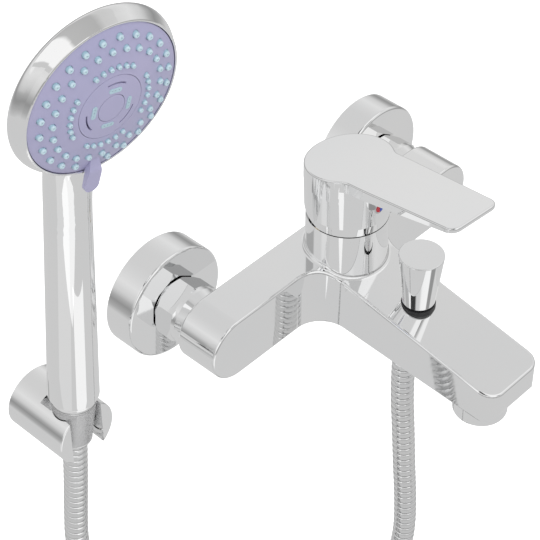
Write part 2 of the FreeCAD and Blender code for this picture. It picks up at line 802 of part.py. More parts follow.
def aerator_insert():
    solid = cylinder(aerator_bore_radius - fit_gap, on_axis(aerator_reach, aerator_bottom + 1.6), Z, 9.0)
    for ring_radius, count in ((2.4, 6), (4.8, 12), (7.2, 18)):
        for step in range(count):
            angle = 2.0 * math.pi * step / count
            spot = on_axis(aerator_reach - ring_radius * math.sin(angle), 0, ring_radius * math.cos(angle))
            solid = solid.cut(cylinder(0.8, spot + Z * (aerator_bottom - 1.0), Z, 20.0))
    return solid


def aerator_gasket():
    return tube(aerator_thread_radius - 0.1, aerator_bore_radius - 0.6,
                on_axis(aerator_reach, aerator_shelf() - 1.6),
                Z, 1.6)


# Shower outlet and the hose's mixer end

def hose_start():
    """Height where the hose leaves its nut under the mixer, over the mixer's axis."""
    return hose_seat() - 7.0


def hose_washer_mixer():
    return tube(hose_flange_radius, channel_radius, on_axis(outlet_reach, hose_seat()), -Z,
                hose_washer_thickness)


def mixer_tail_top():
    return hose_seat() - hose_washer_thickness


def hose_tail_mixer():
    top = mixer_tail_top()
    flange = cylinder(hose_flange_radius, on_axis(outlet_reach, top), -Z, hose_flange_thickness)
    barrel = cylinder(hose_tail_radius, on_axis(outlet_reach, top), -Z, top - hose_start())
    return fused([flange, barrel]).cut(cylinder(hose_bore_radius, on_axis(outlet_reach, 0), -Z, 60.0))


def hose_nut_mixer():
    top = spout_bottom(outlet_reach) - 1.0
    shoulder = mixer_tail_top() - hose_flange_thickness - fit_gap
    outer = turned(((0, hose_start()), (hose_nut_end_radius, hose_start()), (hose_nut_radius, shoulder),
                    (hose_nut_radius, top), (0, top)), on_axis(outlet_reach, 0))
    thread = cylinder(inlet_thread_radius + fit_gap, on_axis(outlet_reach, shoulder), Z, 20.0)
    passage = cylinder(hose_tail_radius + 0.15, on_axis(outlet_reach, hose_start() - 1.0), Z, 20.0)
    return outer.cut(thread).cut(passage)


# Hand shower: built upright with the handle's foot at the origin, then laid in its bracket

def in_bracket(shape, swivelled=True):
    placed = shape.copy()
    if swivelled:
        placed.rotate(Vector(0, 0, 0), Z, -handset_turn)
    placed.rotate(Vector(0, 0, 0), X, handset_tilt)
    placed.translate(on_axis(handset_reach, handset_foot_height, bracket_x))
    return placed


def on_head(shape):
    """Move a piece drawn about the face's middle, facing -Y, to its place on the head."""
    placed = shape.copy()
    placed.rotate(Vector(0, 0, 0), X, face_tilt)
    placed.translate(Vector(0, -face_forward, face_along))
    return placed


def head_turned(points):
    """Solid of revolution about the face's axis from (radius, depth behind the rim) points."""
    corners = [Vector(radius, depth, 0) for radius, depth in points]
    wire = Part.makePolygon(corners + corners[:1])
    return Part.Face(wire).revolve(Vector(0, 0, 0), Y, 360)


def smooth_head_turned(points):
    """Solid of revolution about the face's axis with a smooth outer curve through the points."""
    curve = Part.BSplineCurve()
    curve.interpolate([Vector(radius, depth, 0) for radius, depth in points])
    start = Vector(points[0][0], points[0][1], 0)
    end = Vector(points[-1][0], points[-1][1], 0)
    edges = [curve.toShape()]
    if end.x > 1e-6:
        edges.append(Part.LineSegment(end, Vector(0, end.y, 0)).toShape())
    edges.append(Part.LineSegment(Vector(0, end.y, 0), Vector(0, start.y, 0)).toShape())
    edges.append(Part.LineSegment(Vector(0, start.y, 0), start).toShape())
    return Part.Face(Part.Wire(edges)).revolve(Vector(0, 0, 0), Y, 360)


def ellipse_wire(half_x, half_y, y, z):
    if half_x > half_y:
        curve = Part.Ellipse(Vector(half_x, y, z), Vector(0, y + half_y, z), Vector(0, y, z))
    else:
        curve = Part.Circle(Vector(0, y, z), Z, half_x)
    return Part.Wire([curve.toShape()])


def handset_shell():
    foot = handle_foot_radius
    top = handle_top_radius
    taper = (foot - top) / handle_straight
    handle = cone(foot, top + taper * neck_overlap, Vector(0, 0, 0), Z, handle_straight - neck_overlap)
    wires = []
    for overlap in (neck_overlap, neck_overlap / 2.0):
        radius = top + taper * overlap
        wires.append(ellipse_wire(radius, radius, 0.0, handle_straight - overlap))
    for rise, forward, wider, deeper in neck_sections:
        wires.append(ellipse_wire(top + wider, top + deeper, -forward, handle_straight + rise))
    neck = Part.makeLoft(wires, True, False)
    outline = [(rim_edge_radius, rim_edge_depth), (head_radius - 0.5, rim_sleeve_depth),
               (head_radius, head_side)]
    outline += [(head_radius - inward, head_side + behind) for inward, behind in head_back_curve]
    head = on_head(smooth_head_turned(outline + [(0.0, head_depth)]))
    nipple = cylinder(handset_thread_radius, Vector(0, 0, -handset_thread_length), Z,
                      handset_thread_length + 3.0)
    solid = handle.fuse([neck, head, nipple]).removeSplitter()
    inside = head_radius - shell_wall
    hollow = [(0, -1.0), (inside, -1.0)]
    hollow += [(inside - inward, head_side + behind) for inward, behind in head_room_curve]
    room = on_head(head_turned(hollow + [(0, head_depth - 2.9)]))
    boss = on_head(cylinder(4.5, Vector(0, distributor_back() + 0.05, 0), Y, head_depth))
    bore = cone(foot - shell_wall, top - shell_wall, Vector(0, 0, 14.0), Z, handle_straight)
    rising = Vector(0, -10.0, 42.0)
    rise_length = rising.Length
    rising.normalize()
    passage = cylinder(5.4, Vector(0, -0.5, handle_straight + 6.0), rising, rise_length)
    inlet = cylinder(4.0, Vector(0, 0, -10.0), Z, 20.0)
    tube_seat = cylinder(5.0 + fit_gap, Vector(0, 0, 6.0), Z, 10.0)
    screw_hole = on_head(cylinder(face_screw_radius + fit_gap, Vector(0, 0, 0), Y,
                                  face_screw_front + face_screw_length + 0.2))
    return cut_all(solid, [room.cut(boss), bore, passage, inlet, tube_seat, screw_hole])


def distributor_back():
    return 7.1


def water_tube():
    return tube(5.0, 3.6, Vector(0, 0, 6.0), Z, handle_straight + 4.0)


def head_rim():
    inner = face_radius + rim_gap
    sleeve = head_radius - shell_wall - 0.1
    profile = rounded_face(
        ((inner, 0.1, 0), (inner + 0.1, -rim_lip, 0.25), (rim_front_radius, -rim_lip, 0.9),
         (rim_edge_radius, rim_edge_depth, 0), (sleeve, rim_edge_depth, 0), (sleeve, rim_sleeve_depth, 0),
         (inner, rim_sleeve_depth, 0)), lambda u, v: Vector(u, v, 0))
    return on_head(profile.revolve(Vector(0, 0, 0), Y, 360))


def crown_depth(radius):
    """Depth of the face's crowned front, negative towards the viewer."""
    sphere = (face_radius ** 2 + face_crown ** 2) / (2.0 * face_crown)
    return -(math.sqrt(sphere ** 2 - radius ** 2) - (sphere - face_crown))


def crowned_disc(outer, inner, back, lift=0.0):
    """Ring of the face with its crowned front, from an inner to an outer radius, down to a flat back."""
    sphere = (face_radius ** 2 + face_crown ** 2) / (2.0 * face_crown)
    ball = Part.makeSphere(sphere, Vector(0, sphere - face_crown - lift, 0))
    ring = cylinder(outer, Vector(0, -20.0, 0), Y, 20.0 + back)
    if inner:
        ring = ring.cut(cylinder(inner, Vector(0, -30.0, 0), Y, 60.0))
    return ring.common(ball)


def turned_on_face(shape, angle):
    placed = shape.copy()
    placed.rotate(Vector(0, 0, 0), Y, angle)
    return placed


def nozzle_places():
    """Radius, angle and size of every nozzle, clockwise from the top as seen from the front."""
    places = []
    for ring, (radius, count, size) in enumerate(nozzle_rings):
        for step in range(count):
            angle = 360.0 / count * (step + 0.5 * ring)
            hidden_by_tab = ring == 0 and abs(angle - 180.0) < 1.0
            if not hidden_by_tab:
                places.append((radius, angle, size))
    for group in range(4):
        for step in range(6):
            angle = inner_group_turn + 90.0 * group + 11.2 * (step - 2.5)
            places.append((inner_nozzle_ring, angle, inner_nozzle_radius))
    return places


def face_point(radius, angle, depth):
    turn = math.radians(angle)
    return Vector(radius * math.sin(turn), depth, radius * math.cos(turn))


def face_plate():
    solid = crowned_disc(face_radius, centre_plate_radius + plate_gap, 3.0)
    for radius, angle, size in nozzle_places():
        spot = face_point(radius, angle, -10.0)
        solid = solid.cut(cylinder(size + 0.12, spot, Y, 20.0))
    solid = solid.fuse(turned_on_face(selector_tab(), tab_turn)).removeSplitter()
    return on_head(turned_on_face(solid, selector_turn))


def selector_tab():
    """Grip at the foot of the face, a ridge that runs out past the rim and widens into a rounded tongue."""
    tip = face_radius + tab_length
    root = face_radius - 6.5
    outline = rounded_face(
        ((-tab_width * 0.3, root, 1.5), (-tab_width / 2.0, face_radius + 1.0, 8.0),
         (-tab_width / 2.0, tip, tab_width * 0.46), (tab_width / 2.0, tip, tab_width * 0.46),
         (tab_width / 2.0, face_radius + 1.0, 8.0), (tab_width * 0.3, root, 1.5)),
        lambda u, v: Vector(u, -8.0, -v))
    tongue = outline.extrude(Y * 8.0)
    slope = rounded_face(
        ((-root, -0.5, 0), (-root, crown_depth(root) + 0.3, 0), (-face_radius + 1.0, -3.6, 3.0),
         (-tip - 1.0, -2.9, 0),
         (-tip - 1.0, -1.1, 0), (-face_radius - 0.2, -1.1, 0), (-face_radius - 0.2, -0.5, 0)),
        lambda u, v: Vector(-20.0, v, u)).extrude(X * 40.0)
    return tongue.common(slope)


def nozzle_mat():
    sheet = cylinder(face_radius - 1.0, Vector(0, 3.05, 0), Y, 1.0)
    sheet = sheet.cut(cylinder(centre_plate_radius + 0.5, Vector(0, 0, 0), Y, 10.0))
    posts = []
    for radius, angle, size in nozzle_places():
        front = crown_depth(radius) - nozzle_height
        post = cylinder(size, face_point(radius, angle, front + 0.5), Y, 3.3 - front - 0.5)
        tip = cone(size - 0.35, size, face_point(radius, angle, front), Y, 0.5)
        posts.append(post.fuse(tip))
    solid = sheet.fuse(posts).removeSplitter()
    return on_head(turned_on_face(solid, selector_turn))


def centre_plate():
    solid = crowned_disc(centre_plate_radius, centre_cap_radius + plate_gap, 4.0)
    for step in range(3):
        slot = tube(11.7, 11.0, Vector(0, -8.0, 0), Y, 6.5)
        solid = solid.cut(sector_of(slot, slot_turn + 120.0 * step, 23.0))
    for step in range(4):
        pocket = pill(pill_turn + 90.0 * step, pill_depth)
        solid = solid.cut(pocket)
    return on_head(turned_on_face(solid, selector_turn))


def sector_of(shape, middle, half):
    """Part of a ring within half degrees of the middle angle, clockwise from the top."""
    reach = 40.0
    corners = [Vector(0, -20.0, 0)]
    for angle in (middle - half, middle, middle + half):
        corners.append(face_point(reach, angle, -20.0))
    wedge = Part.Face(Part.makePolygon(corners + corners[:1])).extrude(Y * 60.0)
    return shape.common(wedge)


def pill(angle, depth):
    """Rounded bar across a radius of the face, as deep as given behind the crown."""
    low = pill_radius - pill_half_width
    high = pill_radius + pill_half_width
    rounding = 0.95 * pill_half_width
    outline = rounded_face(((-pill_half_length, low, rounding), (pill_half_length, low, rounding),
                            (pill_half_length, high, rounding), (-pill_half_length, high, rounding)),
                           lambda u, v: Vector(u, -face_crown - 1.0, v))
    return turned_on_face(outline.extrude(Y * (1.0 + depth)), angle)


def mist_inserts():
    sphere = (face_radius ** 2 + face_crown ** 2) / (2.0 * face_crown)
    ball = Part.makeSphere(sphere + 0.25, Vector(0, sphere - face_crown, 0))
    bars = []
    for step in range(4):
        bar_solid = pill(pill_turn + 90.0 * step, pill_depth).common(ball)
        for offset in (-1.6, 0.0, 1.6):
            turn = math.radians(pill_turn + 90.0 * step)
            spot = Vector(pill_radius * math.sin(turn) + offset * math.cos(turn), -10.0,
                          pill_radius * math.cos(turn) - offset * math.sin(turn))
            bar_solid = bar_solid.cut(cylinder(0.25, spot, Y, 20.0))
        bars.append(bar_solid)
    return on_head(turned_on_face(Part.makeCompound(bars), selector_turn))


def centre_cap():
    solid = crowned_disc(centre_cap_radius, 0, 0.6)
    return on_head(solid)


def distributor():
    plate = cylinder(head_radius - shell_wall - 2.6, Vector(0, 5.3, 0), Y, distributor_back() - 5.3)
    post = cylinder(centre_cap_radius - 0.1, Vector(0, face_screw_front, 0), Y, 6.0)
    solid = plate.fuse(post)
    for step in range(6):
        turn = 60.0 * step
        solid = solid.cut(cylinder(2.4, face_point(24.0, turn, 0.0), Y, 20.0))
    solid = solid.cut(cylinder(face_screw_radius + face_screw_clearance, Vector(0, -5.0, 0), Y, 30.0))
    pocket = face_screw_front + face_screw_head_length + fit_gap
    solid = solid.cut(cylinder(face_screw_head_radius + 0.2, Vector(0, -5.0, 0), Y, 5.0 + pocket))
    return on_head(solid)


def face_screw():
    shank = cylinder(face_screw_radius, Vector(0, face_screw_front, 0), Y, face_screw_length)
    head = cylinder(face_screw_head_radius, Vector(0, face_screw_front, 0), Y, face_screw_head_length)
    return on_head(fused([shank, head]))


def chamber_seal():
    return on_head(Part.makeTorus(head_radius - shell_wall - 6.0, 0.9,
                                  Vector(0, distributor_back() + 0.9, 0), Y))


def selector_disc():
    solid = cylinder(face_radius - 1.0, Vector(0, 4.1, 0), Y, 1.1)
    solid = solid.cut(cylinder(centre_cap_radius + 0.1, Vector(0, 0, 0), Y, 10.0))
    for step in range(12):
        solid = solid.cut(cylinder(1.6, face_point(26.0, 30.0 * step, 0.0), Y, 20.0))
    return on_head(turned_on_face(solid, selector_turn))


# The hose's hand-shower end

def tail_shoulder():
    """Height under the handle's foot where the hose tail's flange ends."""
    return -handset_thread_length - handset_washer_thickness - handset_flange_thickness


def cone_nut_bottom():
    return -cone_nut_gap - cone_nut_length


def hose_washer_handset():
    low = -handset_thread_length - handset_washer_thickness
    return in_bracket(tube(handset_flange_radius(), 5.0, Vector(0, 0, low), Z, handset_washer_thickness),
                      False)


def handset_flange_radius():
    return handset_thread_radius - 0.2


def hose_tail_handset():
    shoulder = tail_shoulder()
    flange = cylinder(handset_flange_radius(), Vector(0, 0, shoulder), Z, handset_flange_thickness)
    barrel = cylinder(hose_tail_radius, Vector(0, 0, cone_nut_bottom()), Z,
                      shoulder + 0.5 - cone_nut_bottom())
    solid = fused([flange, barrel]).cut(cylinder(hose_bore_radius, Vector(0, 0, -60.0), Z, 80.0))
    return in_bracket(solid, False)


def cone_radius(height):
    """Outer radius of the hand shower's hose nut at a height below the handle's foot."""
    share = (-cone_nut_gap - height) / cone_nut_length
    return cone_nut_top_radius + share * (cone_nut_end_radius - cone_nut_top_radius)


def hose_nut_handset():
    bottom = cone_nut_bottom()
    collar = -cone_nut_gap - cone_nut_collar_length
    body_top = cone_radius(collar) - cone_nut_collar_step
    outer = turned(((0, bottom), (cone_nut_end_radius - cone_nut_chamfer, bottom),
                    (cone_nut_end_radius - cone_nut_collar_step, bottom + cone_nut_chamfer),
                    (body_top, collar),
                    (cone_radius(collar), collar), (cone_nut_top_radius, -cone_nut_gap),
                    (0, -cone_nut_gap)))
    thread = cylinder(handset_thread_radius + fit_gap, Vector(0, 0, tail_shoulder() - 0.1), Z, 20.0)
    passage = cylinder(hose_tail_radius + 0.08, Vector(0, 0, bottom - 1.0), Z, 40.0)
    return in_bracket(outer.cut(thread).cut(passage))


# Wall bracket

def bracket_point(reach, height=0.0):
    return on_axis(reach, height - bracket_drop, bracket_x)


def bracket_body():
    solid = cylinder(bracket_radius, bracket_point(0), -Y, bracket_reach)
    rim = [edge for edge in solid.Edges if edge.BoundBox.YMax < -bracket_reach + 0.1]
    solid = softened(solid, rim, bracket_edge_radius)
    low = -60.0
    high = 30.0
    bore = cone(cone_radius(low) + bore_clearance, cone_radius(high) + bore_clearance, Vector(0, 0, low),
                Z, high - low)
    half = bracket_slit / 2.0
    seat = block(-half, half, -80.0, bracket_seat_back, -bracket_seat_depth, 40.0)
    slit = block(-half, half, -80.0, 0.0, -60.0, 40.0)
    cavity = cylinder(bracket_cavity_radius, bracket_point(-1.0), -Y, bracket_cavity_depth + 1.0)
    lock_hole = cylinder(2.05, bracket_point(2.0, -bracket_radius - 1.0), Z, 6.0)
    cuts = [in_bracket(bore, False), in_bracket(seat, False), in_bracket(slit, False), cavity, lock_hole]
    return cut_all(solid, cuts)


def bracket_plate():
    disc = cylinder(bracket_cavity_radius - 0.1, bracket_point(0), -Y, plate_thickness)
    for side in (-1, 1):
        disc = disc.cut(cylinder(screw_hole_radius, bracket_point(-1.0, side * screw_spacing / 2.0), -Y,
                                 30.0))
    return disc


def bracket_lock_screw():
    solid = cylinder(2.0, bracket_point(2.0, -bracket_radius + 0.2), Z,
                     bracket_radius - bracket_cavity_radius - 0.1)
    socket = hexagon(2.0, bracket_point(2.0, -bracket_radius + 0.1), Z, 1.6)
    return solid.cut(socket)


# Hose

def local_to_part(point):
    """Point given about the handle's foot, along and across the bracket's bore, in the part's frame."""
    tilt = math.radians(handset_tilt)
    y = point.y * math.cos(tilt) - point.z * math.sin(tilt)
    z = point.y * math.sin(tilt) + point.z * math.cos(tilt)
    return on_axis(handset_reach, handset_foot_height, bracket_x) + Vector(point.x, y, z)


# Points of the two hanging stretches: x, reach from the wall and height over the mixer's axis
mixer_route = [on_axis(outlet_reach, -58.0, 0.0), on_axis(outlet_reach + 2.6, -84.0, 0.0),
               on_axis(outlet_reach + 4.6, -110.0, 0.1), on_axis(outlet_reach + 7.4, -137.0, 0.0),
               on_axis(outlet_reach + 8.6, -164.0, -0.3), on_axis(outlet_reach + 6.0, -190.0, -3.0)]
handset_route = [on_axis(22.9, -81.0, bracket_x - 0.8), on_axis(22.6, -109.0, bracket_x - 2.6),
                 on_axis(30.6, -136.0, bracket_x - 0.2), on_axis(43.3, -163.0, bracket_x + 4.6),
                 on_axis(55.5, -189.0, bracket_x + 10.1)]
handset_run_start = 26.0


def coil_point(angle):
    """Point on the coil's helix; the angle runs from the mixer's side down, round and up the other side."""
    share = angle / (2.0 * math.pi)
    reach = coil_centre_reach + coil_pitch * (coil_turns / 2.0 - share)
    return on_axis(reach, -coil_drop - coil_radius * math.sin(angle),
                   coil_centre_x + coil_radius * math.cos(angle))


def coil_tangent(angle):
    """Direction of the helix at a point."""
    rise = coil_pitch / (2.0 * math.pi)
    direction = Vector(-coil_radius * math.sin(angle), rise, -coil_radius * math.cos(angle))
    direction.normalize()
    return direction


def coil_start_lead(distance):
    """Point before the coil's start, straight along the hose."""
    return coil_point(0.0) - coil_tangent(0.0) * distance


def coil_end_lead(distance):
    """Point after the coil's end, straight along the hose."""
    end = 2.0 * math.pi * coil_turns
    return coil_point(end) + coil_tangent(end) * distance


def corner_arc(start, corner, end):
    """Arc that leaves the line to the corner at the start and joins the line from it at the end."""
    before = start - corner
    after = end - corner
    reach = before.Length
    half = before.getAngle(after) / 2.0
    before.normalize()
    after.normalize()
    bisector = before + after
    bisector.normalize()
    middle = corner + bisector * (reach / math.cos(half) - reach * math.tan(half))
    return Part.Arc(start, middle, end).toShape(), reach * math.tan(half)


def biarc(start, start_direction, end, end_direction):
    """Two arcs in one smooth line between two points with given directions."""
    span = end - start
    both = start_direction + end_direction
    open_turn = 1.0 - start_direction.dot(end_direction)
    along = span.dot(both)
    reach = (math.sqrt(along ** 2 + 2.0 * open_turn * span.dot(span)) - along) / (2.0 * open_turn)
    first_corner = start + start_direction * reach
    second_corner = end - end_direction * reach
    joint = (first_corner + second_corner) * 0.5
    first, first_radius = corner_arc(start, first_corner, joint)
    second, second_radius = corner_arc(joint, second_corner, end)
    return [first, second], min(first_radius, second_radius)


def arc_path(points):
    """Straight runs joined by arcs, each as large as its two runs allow; returns edges and radii."""
    edges = []
    radii = []
    place = points[0]
    for index in range(1, len(points) - 1):
        before = points[index - 1] - points[index]
        after = points[index + 1] - points[index]
        setback = 0.45 * min(before.Length, after.Length)
        before.normalize()
        after.normalize()
        start = points[index] + before * setback
        end = points[index] + after * setback
        arc, radius = corner_arc(start, points[index], end)
        edges.append(Part.LineSegment(place, start).toShape())
        edges.append(arc)
        radii.append(radius)
        place = end
    edges.append(Part.LineSegment(place, points[-1]).toShape())
    return edges, radii


def round_section(centre, direction, radius):
    """Circle square to the hose whose first direction stays along X."""
    circle = Part.Circle(centre, direction, radius)
    steady = X - direction * X.dot(direction)
    steady.normalize()
    circle.XAxis = steady
    return Part.Wire([Part.Edge(circle)])


def swept(edges, radius):
    """Round solid along a smooth line of edges."""
    start = edges[0].valueAt(edges[0].FirstParameter)
    direction = edges[0].tangentAt(edges[0].FirstParameter)
    return Part.Wire(edges).makePipeShell([round_section(start, direction, radius)], True, False)


def station(edges, distance):
    """Point and direction at a distance along a line of edges."""
    for edge in edges:
        if distance <= edge.Length + 1e-9:
            break
        distance -= edge.Length
    share = min(distance / edge.Length, 1.0)
    parameter = edge.FirstParameter + share * (edge.LastParameter - edge.FirstParameter)
    return edge.valueAt(parameter), edge.tangentAt(parameter)


def hose_run(points, name):
    """Hanging stretch of hose with its ribs, its plain ends and its bore."""
    edges, radii = arc_path(points)
    length = sum(edge.Length for edge in edges)
    plain = 2.0 * hose_radius
    count = int((length - 2.0 * plain - rib_groove) / rib_pitch)
    margin = (length - count * rib_pitch) / 2.0
    marks = [(0.0, hose_radius)]
    crest = rib_pitch - rib_groove - rib_slope
    for step in range(count):
        start = margin + step * rib_pitch
        if step == 0:
            marks.append((start, hose_radius))
        marks.append((start + rib_slope / 2.0, hose_radius - rib_depth))
        marks.append((start + rib_slope / 2.0 + rib_groove, hose_radius - rib_depth))
        marks.append((start + rib_slope + rib_groove, hose_radius))
        if step < count - 1:
            marks.append((start + rib_groove + crest + rib_slope - 0.01, hose_radius))
    marks.append((length, hose_radius))
    wires = []
    for distance, radius in marks:
        point, direction = station(edges, distance)
        wires.append(round_section(point, direction, radius))
    outer = Part.makeLoft(wires, True, True)
    expected = 0.0
    for (here, here_radius), (there, there_radius) in zip(marks, marks[1:]):
        squares = here_radius ** 2 + here_radius * there_radius + there_radius ** 2
        expected += math.pi / 3.0 * (there - here) * squares
    print("%s length %.1f ribs %d radii %s volume/expected %.4f" % (
        name, length, count, [round(radius, 1) for radius in radii], outer.Volume / expected))
    return outer.cut(swept(edges, hose_bore_radius)), length


def hose_coil():
    """Helix of the put-away length on biarcs of a quarter turn, with straight ends."""
    edges = [Part.LineSegment(coil_start_lead(coil_lead), coil_point(0.0)).toShape()]
    quarter = math.pi / 2.0
    least_radius = coil_radius
    for step in range(int(round(coil_turns * 4))):
        start = quarter * step
        end = quarter * (step + 1)
        arcs, radius = biarc(coil_point(start), coil_tangent(start), coil_point(end), coil_tangent(end))
        edges += arcs
        least_radius = min(least_radius, radius)
    edges.append(Part.LineSegment(coil_point(end), coil_end_lead(coil_lead)).toShape())
    outer = swept(edges, hose_radius)
    length = sum(edge.Length for edge in edges)
    expected = math.pi * hose_radius ** 2 * length
    print("hose_coil length %.1f least radius %.1f gap to itself %.2f volume/expected %.4f" % (
        length, least_radius, coil_self_gap(), outer.Volume / expected))
    return outer, length


def coil_self_gap():
    """Least distance between neighbouring turns less the hose's diameter, on points."""
    steps = 180
    points = [coil_point(2.0 * math.pi * coil_turns * step / steps) for step in range(steps + 1)]
    per_turn = int(steps / coil_turns)
    least = 1e9
    for first in range(len(points)):
        for second in range(first + per_turn // 2, len(points)):
            least = min(least, (points[first] - points[second]).Length)
    return least - 2.0 * hose_radius


def coil_ties():
    """Soft straps round the turns at the coil's foot and crown."""
    ties = []
    for quarter, side in ((1, -1), (3, 1)):
        reaches = []
        step = quarter
        while step <= coil_turns * 4:
            reaches.append(-coil_point(math.pi / 2.0 * step).y)
            step += 4
        near = min(reaches) - hose_radius - 0.3
        far = max(reaches) + hose_radius + 0.3
        middle = -coil_drop + side * coil_radius
        high = middle + hose_radius + 0.3
        low = middle - hose_radius - 0.3
        rounding = hose_radius
        outer = rounded_face(((near - tie_thickness, low - tie_thickness, rounding),
                              (far + tie_thickness, low - tie_thickness, rounding),
                              (far + tie_thickness, high + tie_thickness, rounding),
                              (near - tie_thickness, high + tie_thickness, rounding)),
                             lambda u, v: on_axis(u, v, coil_centre_x - tie_width / 2.0))
        inner = rounded_face(((near, low, rounding - 1.0), (far, low, rounding - 1.0),
                              (far, high, rounding - 1.0), (near, high, rounding - 1.0)),
                             lambda u, v: on_axis(u, v, coil_centre_x - tie_width / 2.0))
        ties.append(outer.extrude(X * tie_width).cut(inner.extrude(X * tie_width)))
    return Part.makeCompound(ties)


def build_mixer():
    for name, x in (("left", -inlet_spacing / 2.0), ("right", inlet_spacing / 2.0)):
        save("eccentric_union_" + name, eccentric_union(x))
        save("rosette_" + name, rosette(x))
        save("filter_washer_" + name, filter_washer(x))
        save("inlet_nipple_" + name, inlet_nipple(x))
        save("union_nut_" + name, union_nut(x))
    save("mixer_body", mixer_body())
    save("cartridge_housing", cartridge_housing())
    save("cartridge_base_seals", base_seals())
    save("ceramic_fixed_disc", fixed_disc())
    save("ceramic_moving_disc", moving_disc())
    save("cartridge_rotor", rotor())
    save("stem_pin", stem_pin())
    save("lever_stem", lever_stem())
    save("cartridge_nut", cartridge_nut())
    save("dome_ring", dome_ring())
    save("lever", lever())
    save("lever_screw", lever_screw())
    save("index_plug", index_plug())
    save("index_marks", index_marks())
    save("diverter_bush", diverter_bush())
    save("diverter_knob", diverter_knob())
    save("diverter_stem", diverter_stem())
    save("diverter_disc", diverter_disc())
    save("diverter_washer", diverter_washer())
    save("aerator_housing", aerator_housing())
    save("aerator_insert", aerator_insert())
    save("aerator_gasket", aerator_gasket())


def build_hose():
    save("hose_washer_mixer", hose_washer_mixer())
    save("hose_tail_mixer", hose_tail_mixer())
    save("hose_nut_mixer", hose_nut_mixer())
    save("hose_washer_handset", hose_washer_handset())
    save("hose_tail_handset", hose_tail_handset())
    save("hose_nut_handset", hose_nut_handset())
    mixer_exit = on_axis(outlet_reach, hose_start())
    handset_exit = local_to_part(Vector(0, 0, cone_nut_bottom()))
    handset_straight = local_to_part(Vector(0, 0, cone_nut_bottom() - handset_run_start))
    mixer_points = [mixer_exit] + mixer_route
    mixer_points += [coil_start_lead(coil_lead + hose_run_end), coil_start_lead(coil_lead)]
    handset_points = [handset_exit, handset_straight] + handset_route
    handset_points += [coil_end_lead(coil_lead + hose_run_end), coil_end_lead(coil_lead)]
    mixer_run, mixer_length = hose_run(mixer_points, "hose_mixer_run")
    handset_run, handset_length = hose_run(handset_points, "hose_handset_run")
    coil, coil_length = hose_coil()
    save("hose_mixer_run", mixer_run)
    save("hose_handset_run", handset_run)
    save("hose_coil", coil)
    save("coil_ties", coil_ties())
    print("hose length in all %.1f" % (mixer_length + coil_length + handset_length))


def build_handset():
    save("handset_shell", in_bracket(handset_shell()))
    save("handset_water_tube", in_bracket(water_tube()))
    save("head_rim", in_bracket(head_rim()))
    save("face_plate", in_bracket(face_plate()))
    save("nozzle_mat", in_bracket(nozzle_mat()))
    save("centre_plate", in_bracket(centre_plate()))
    save("mist_inserts", in_bracket(mist_inserts()))
    save("centre_cap", in_bracket(centre_cap()))
    save("selector_disc", in_bracket(selector_disc()))
    save("distributor", in_bracket(distributor()))
    save("face_screw", in_bracket(face_screw()))
    save("chamber_seal", in_bracket(chamber_seal()))


def build_bracket():
    save("bracket_body", bracket_body())
    save("bracket_plate", bracket_plate())
    save("bracket_lock_screw", bracket_lock_screw())


build_mixer()
build_hose()
build_handset()
build_bracket()
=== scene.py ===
"""Looks of the wall-mounted bath and shower mixer set: materials, ribbed hose, cone nut, nozzles and
studio. Metres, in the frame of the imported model: X along the wall, +Y into the wall, +Z up."""

import math

import bpy
from mathutils import Matrix, Vector
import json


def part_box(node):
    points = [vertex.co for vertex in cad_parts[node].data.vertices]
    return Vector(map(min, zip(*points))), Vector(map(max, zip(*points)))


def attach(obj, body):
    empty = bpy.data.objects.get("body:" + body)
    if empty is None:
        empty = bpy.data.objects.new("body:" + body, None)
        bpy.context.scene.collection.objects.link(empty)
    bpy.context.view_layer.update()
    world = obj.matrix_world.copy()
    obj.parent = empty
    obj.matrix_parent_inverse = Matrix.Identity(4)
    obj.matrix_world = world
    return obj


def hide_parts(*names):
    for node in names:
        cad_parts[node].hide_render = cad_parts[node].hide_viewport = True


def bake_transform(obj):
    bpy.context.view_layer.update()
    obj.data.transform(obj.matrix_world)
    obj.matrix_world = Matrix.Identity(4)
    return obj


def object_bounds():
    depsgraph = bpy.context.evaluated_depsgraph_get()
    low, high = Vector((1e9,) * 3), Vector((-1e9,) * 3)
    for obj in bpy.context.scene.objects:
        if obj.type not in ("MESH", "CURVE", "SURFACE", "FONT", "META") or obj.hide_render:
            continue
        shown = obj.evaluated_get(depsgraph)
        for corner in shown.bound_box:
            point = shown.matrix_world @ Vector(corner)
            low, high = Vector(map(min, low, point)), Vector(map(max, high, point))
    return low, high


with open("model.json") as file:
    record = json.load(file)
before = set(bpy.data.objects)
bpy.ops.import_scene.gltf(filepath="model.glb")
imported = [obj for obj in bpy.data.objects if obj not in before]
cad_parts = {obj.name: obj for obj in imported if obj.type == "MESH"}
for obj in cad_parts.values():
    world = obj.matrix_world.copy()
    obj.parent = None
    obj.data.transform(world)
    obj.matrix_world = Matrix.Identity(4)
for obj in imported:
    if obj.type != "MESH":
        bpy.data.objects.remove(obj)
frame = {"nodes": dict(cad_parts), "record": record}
cad_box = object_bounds()

MM = 0.001

# Camera, solved from the mixer's outlines in the photograph
camera_azimuth = -46.596
camera_elevation = 42.869
camera_roll = -0.103
camera_place = Vector((-0.52051, -0.50105, 0.63843))
camera_focal_pixels = 1869.8
image_width = 540.0
sensor_width = 36.0

# Hose and its route, in millimetres, from the mixer to the hand shower
axis_height = 7.5
hose_radius = 6.0
hose_pitch = 4.0
hose_groove_depth = 0.6
outlet_reach = 100.5
handset_exit_height = -33.0
handset_run_start = 26.0
coil_radius = 66.8
coil_turns = 2.5
coil_pitch = 12.7
coil_lead = 12.0
coil_centre_x = -74.0
coil_centre_reach = 82.0
coil_drop = 252.0
coil_steps = 16
hose_run_end = 26.0

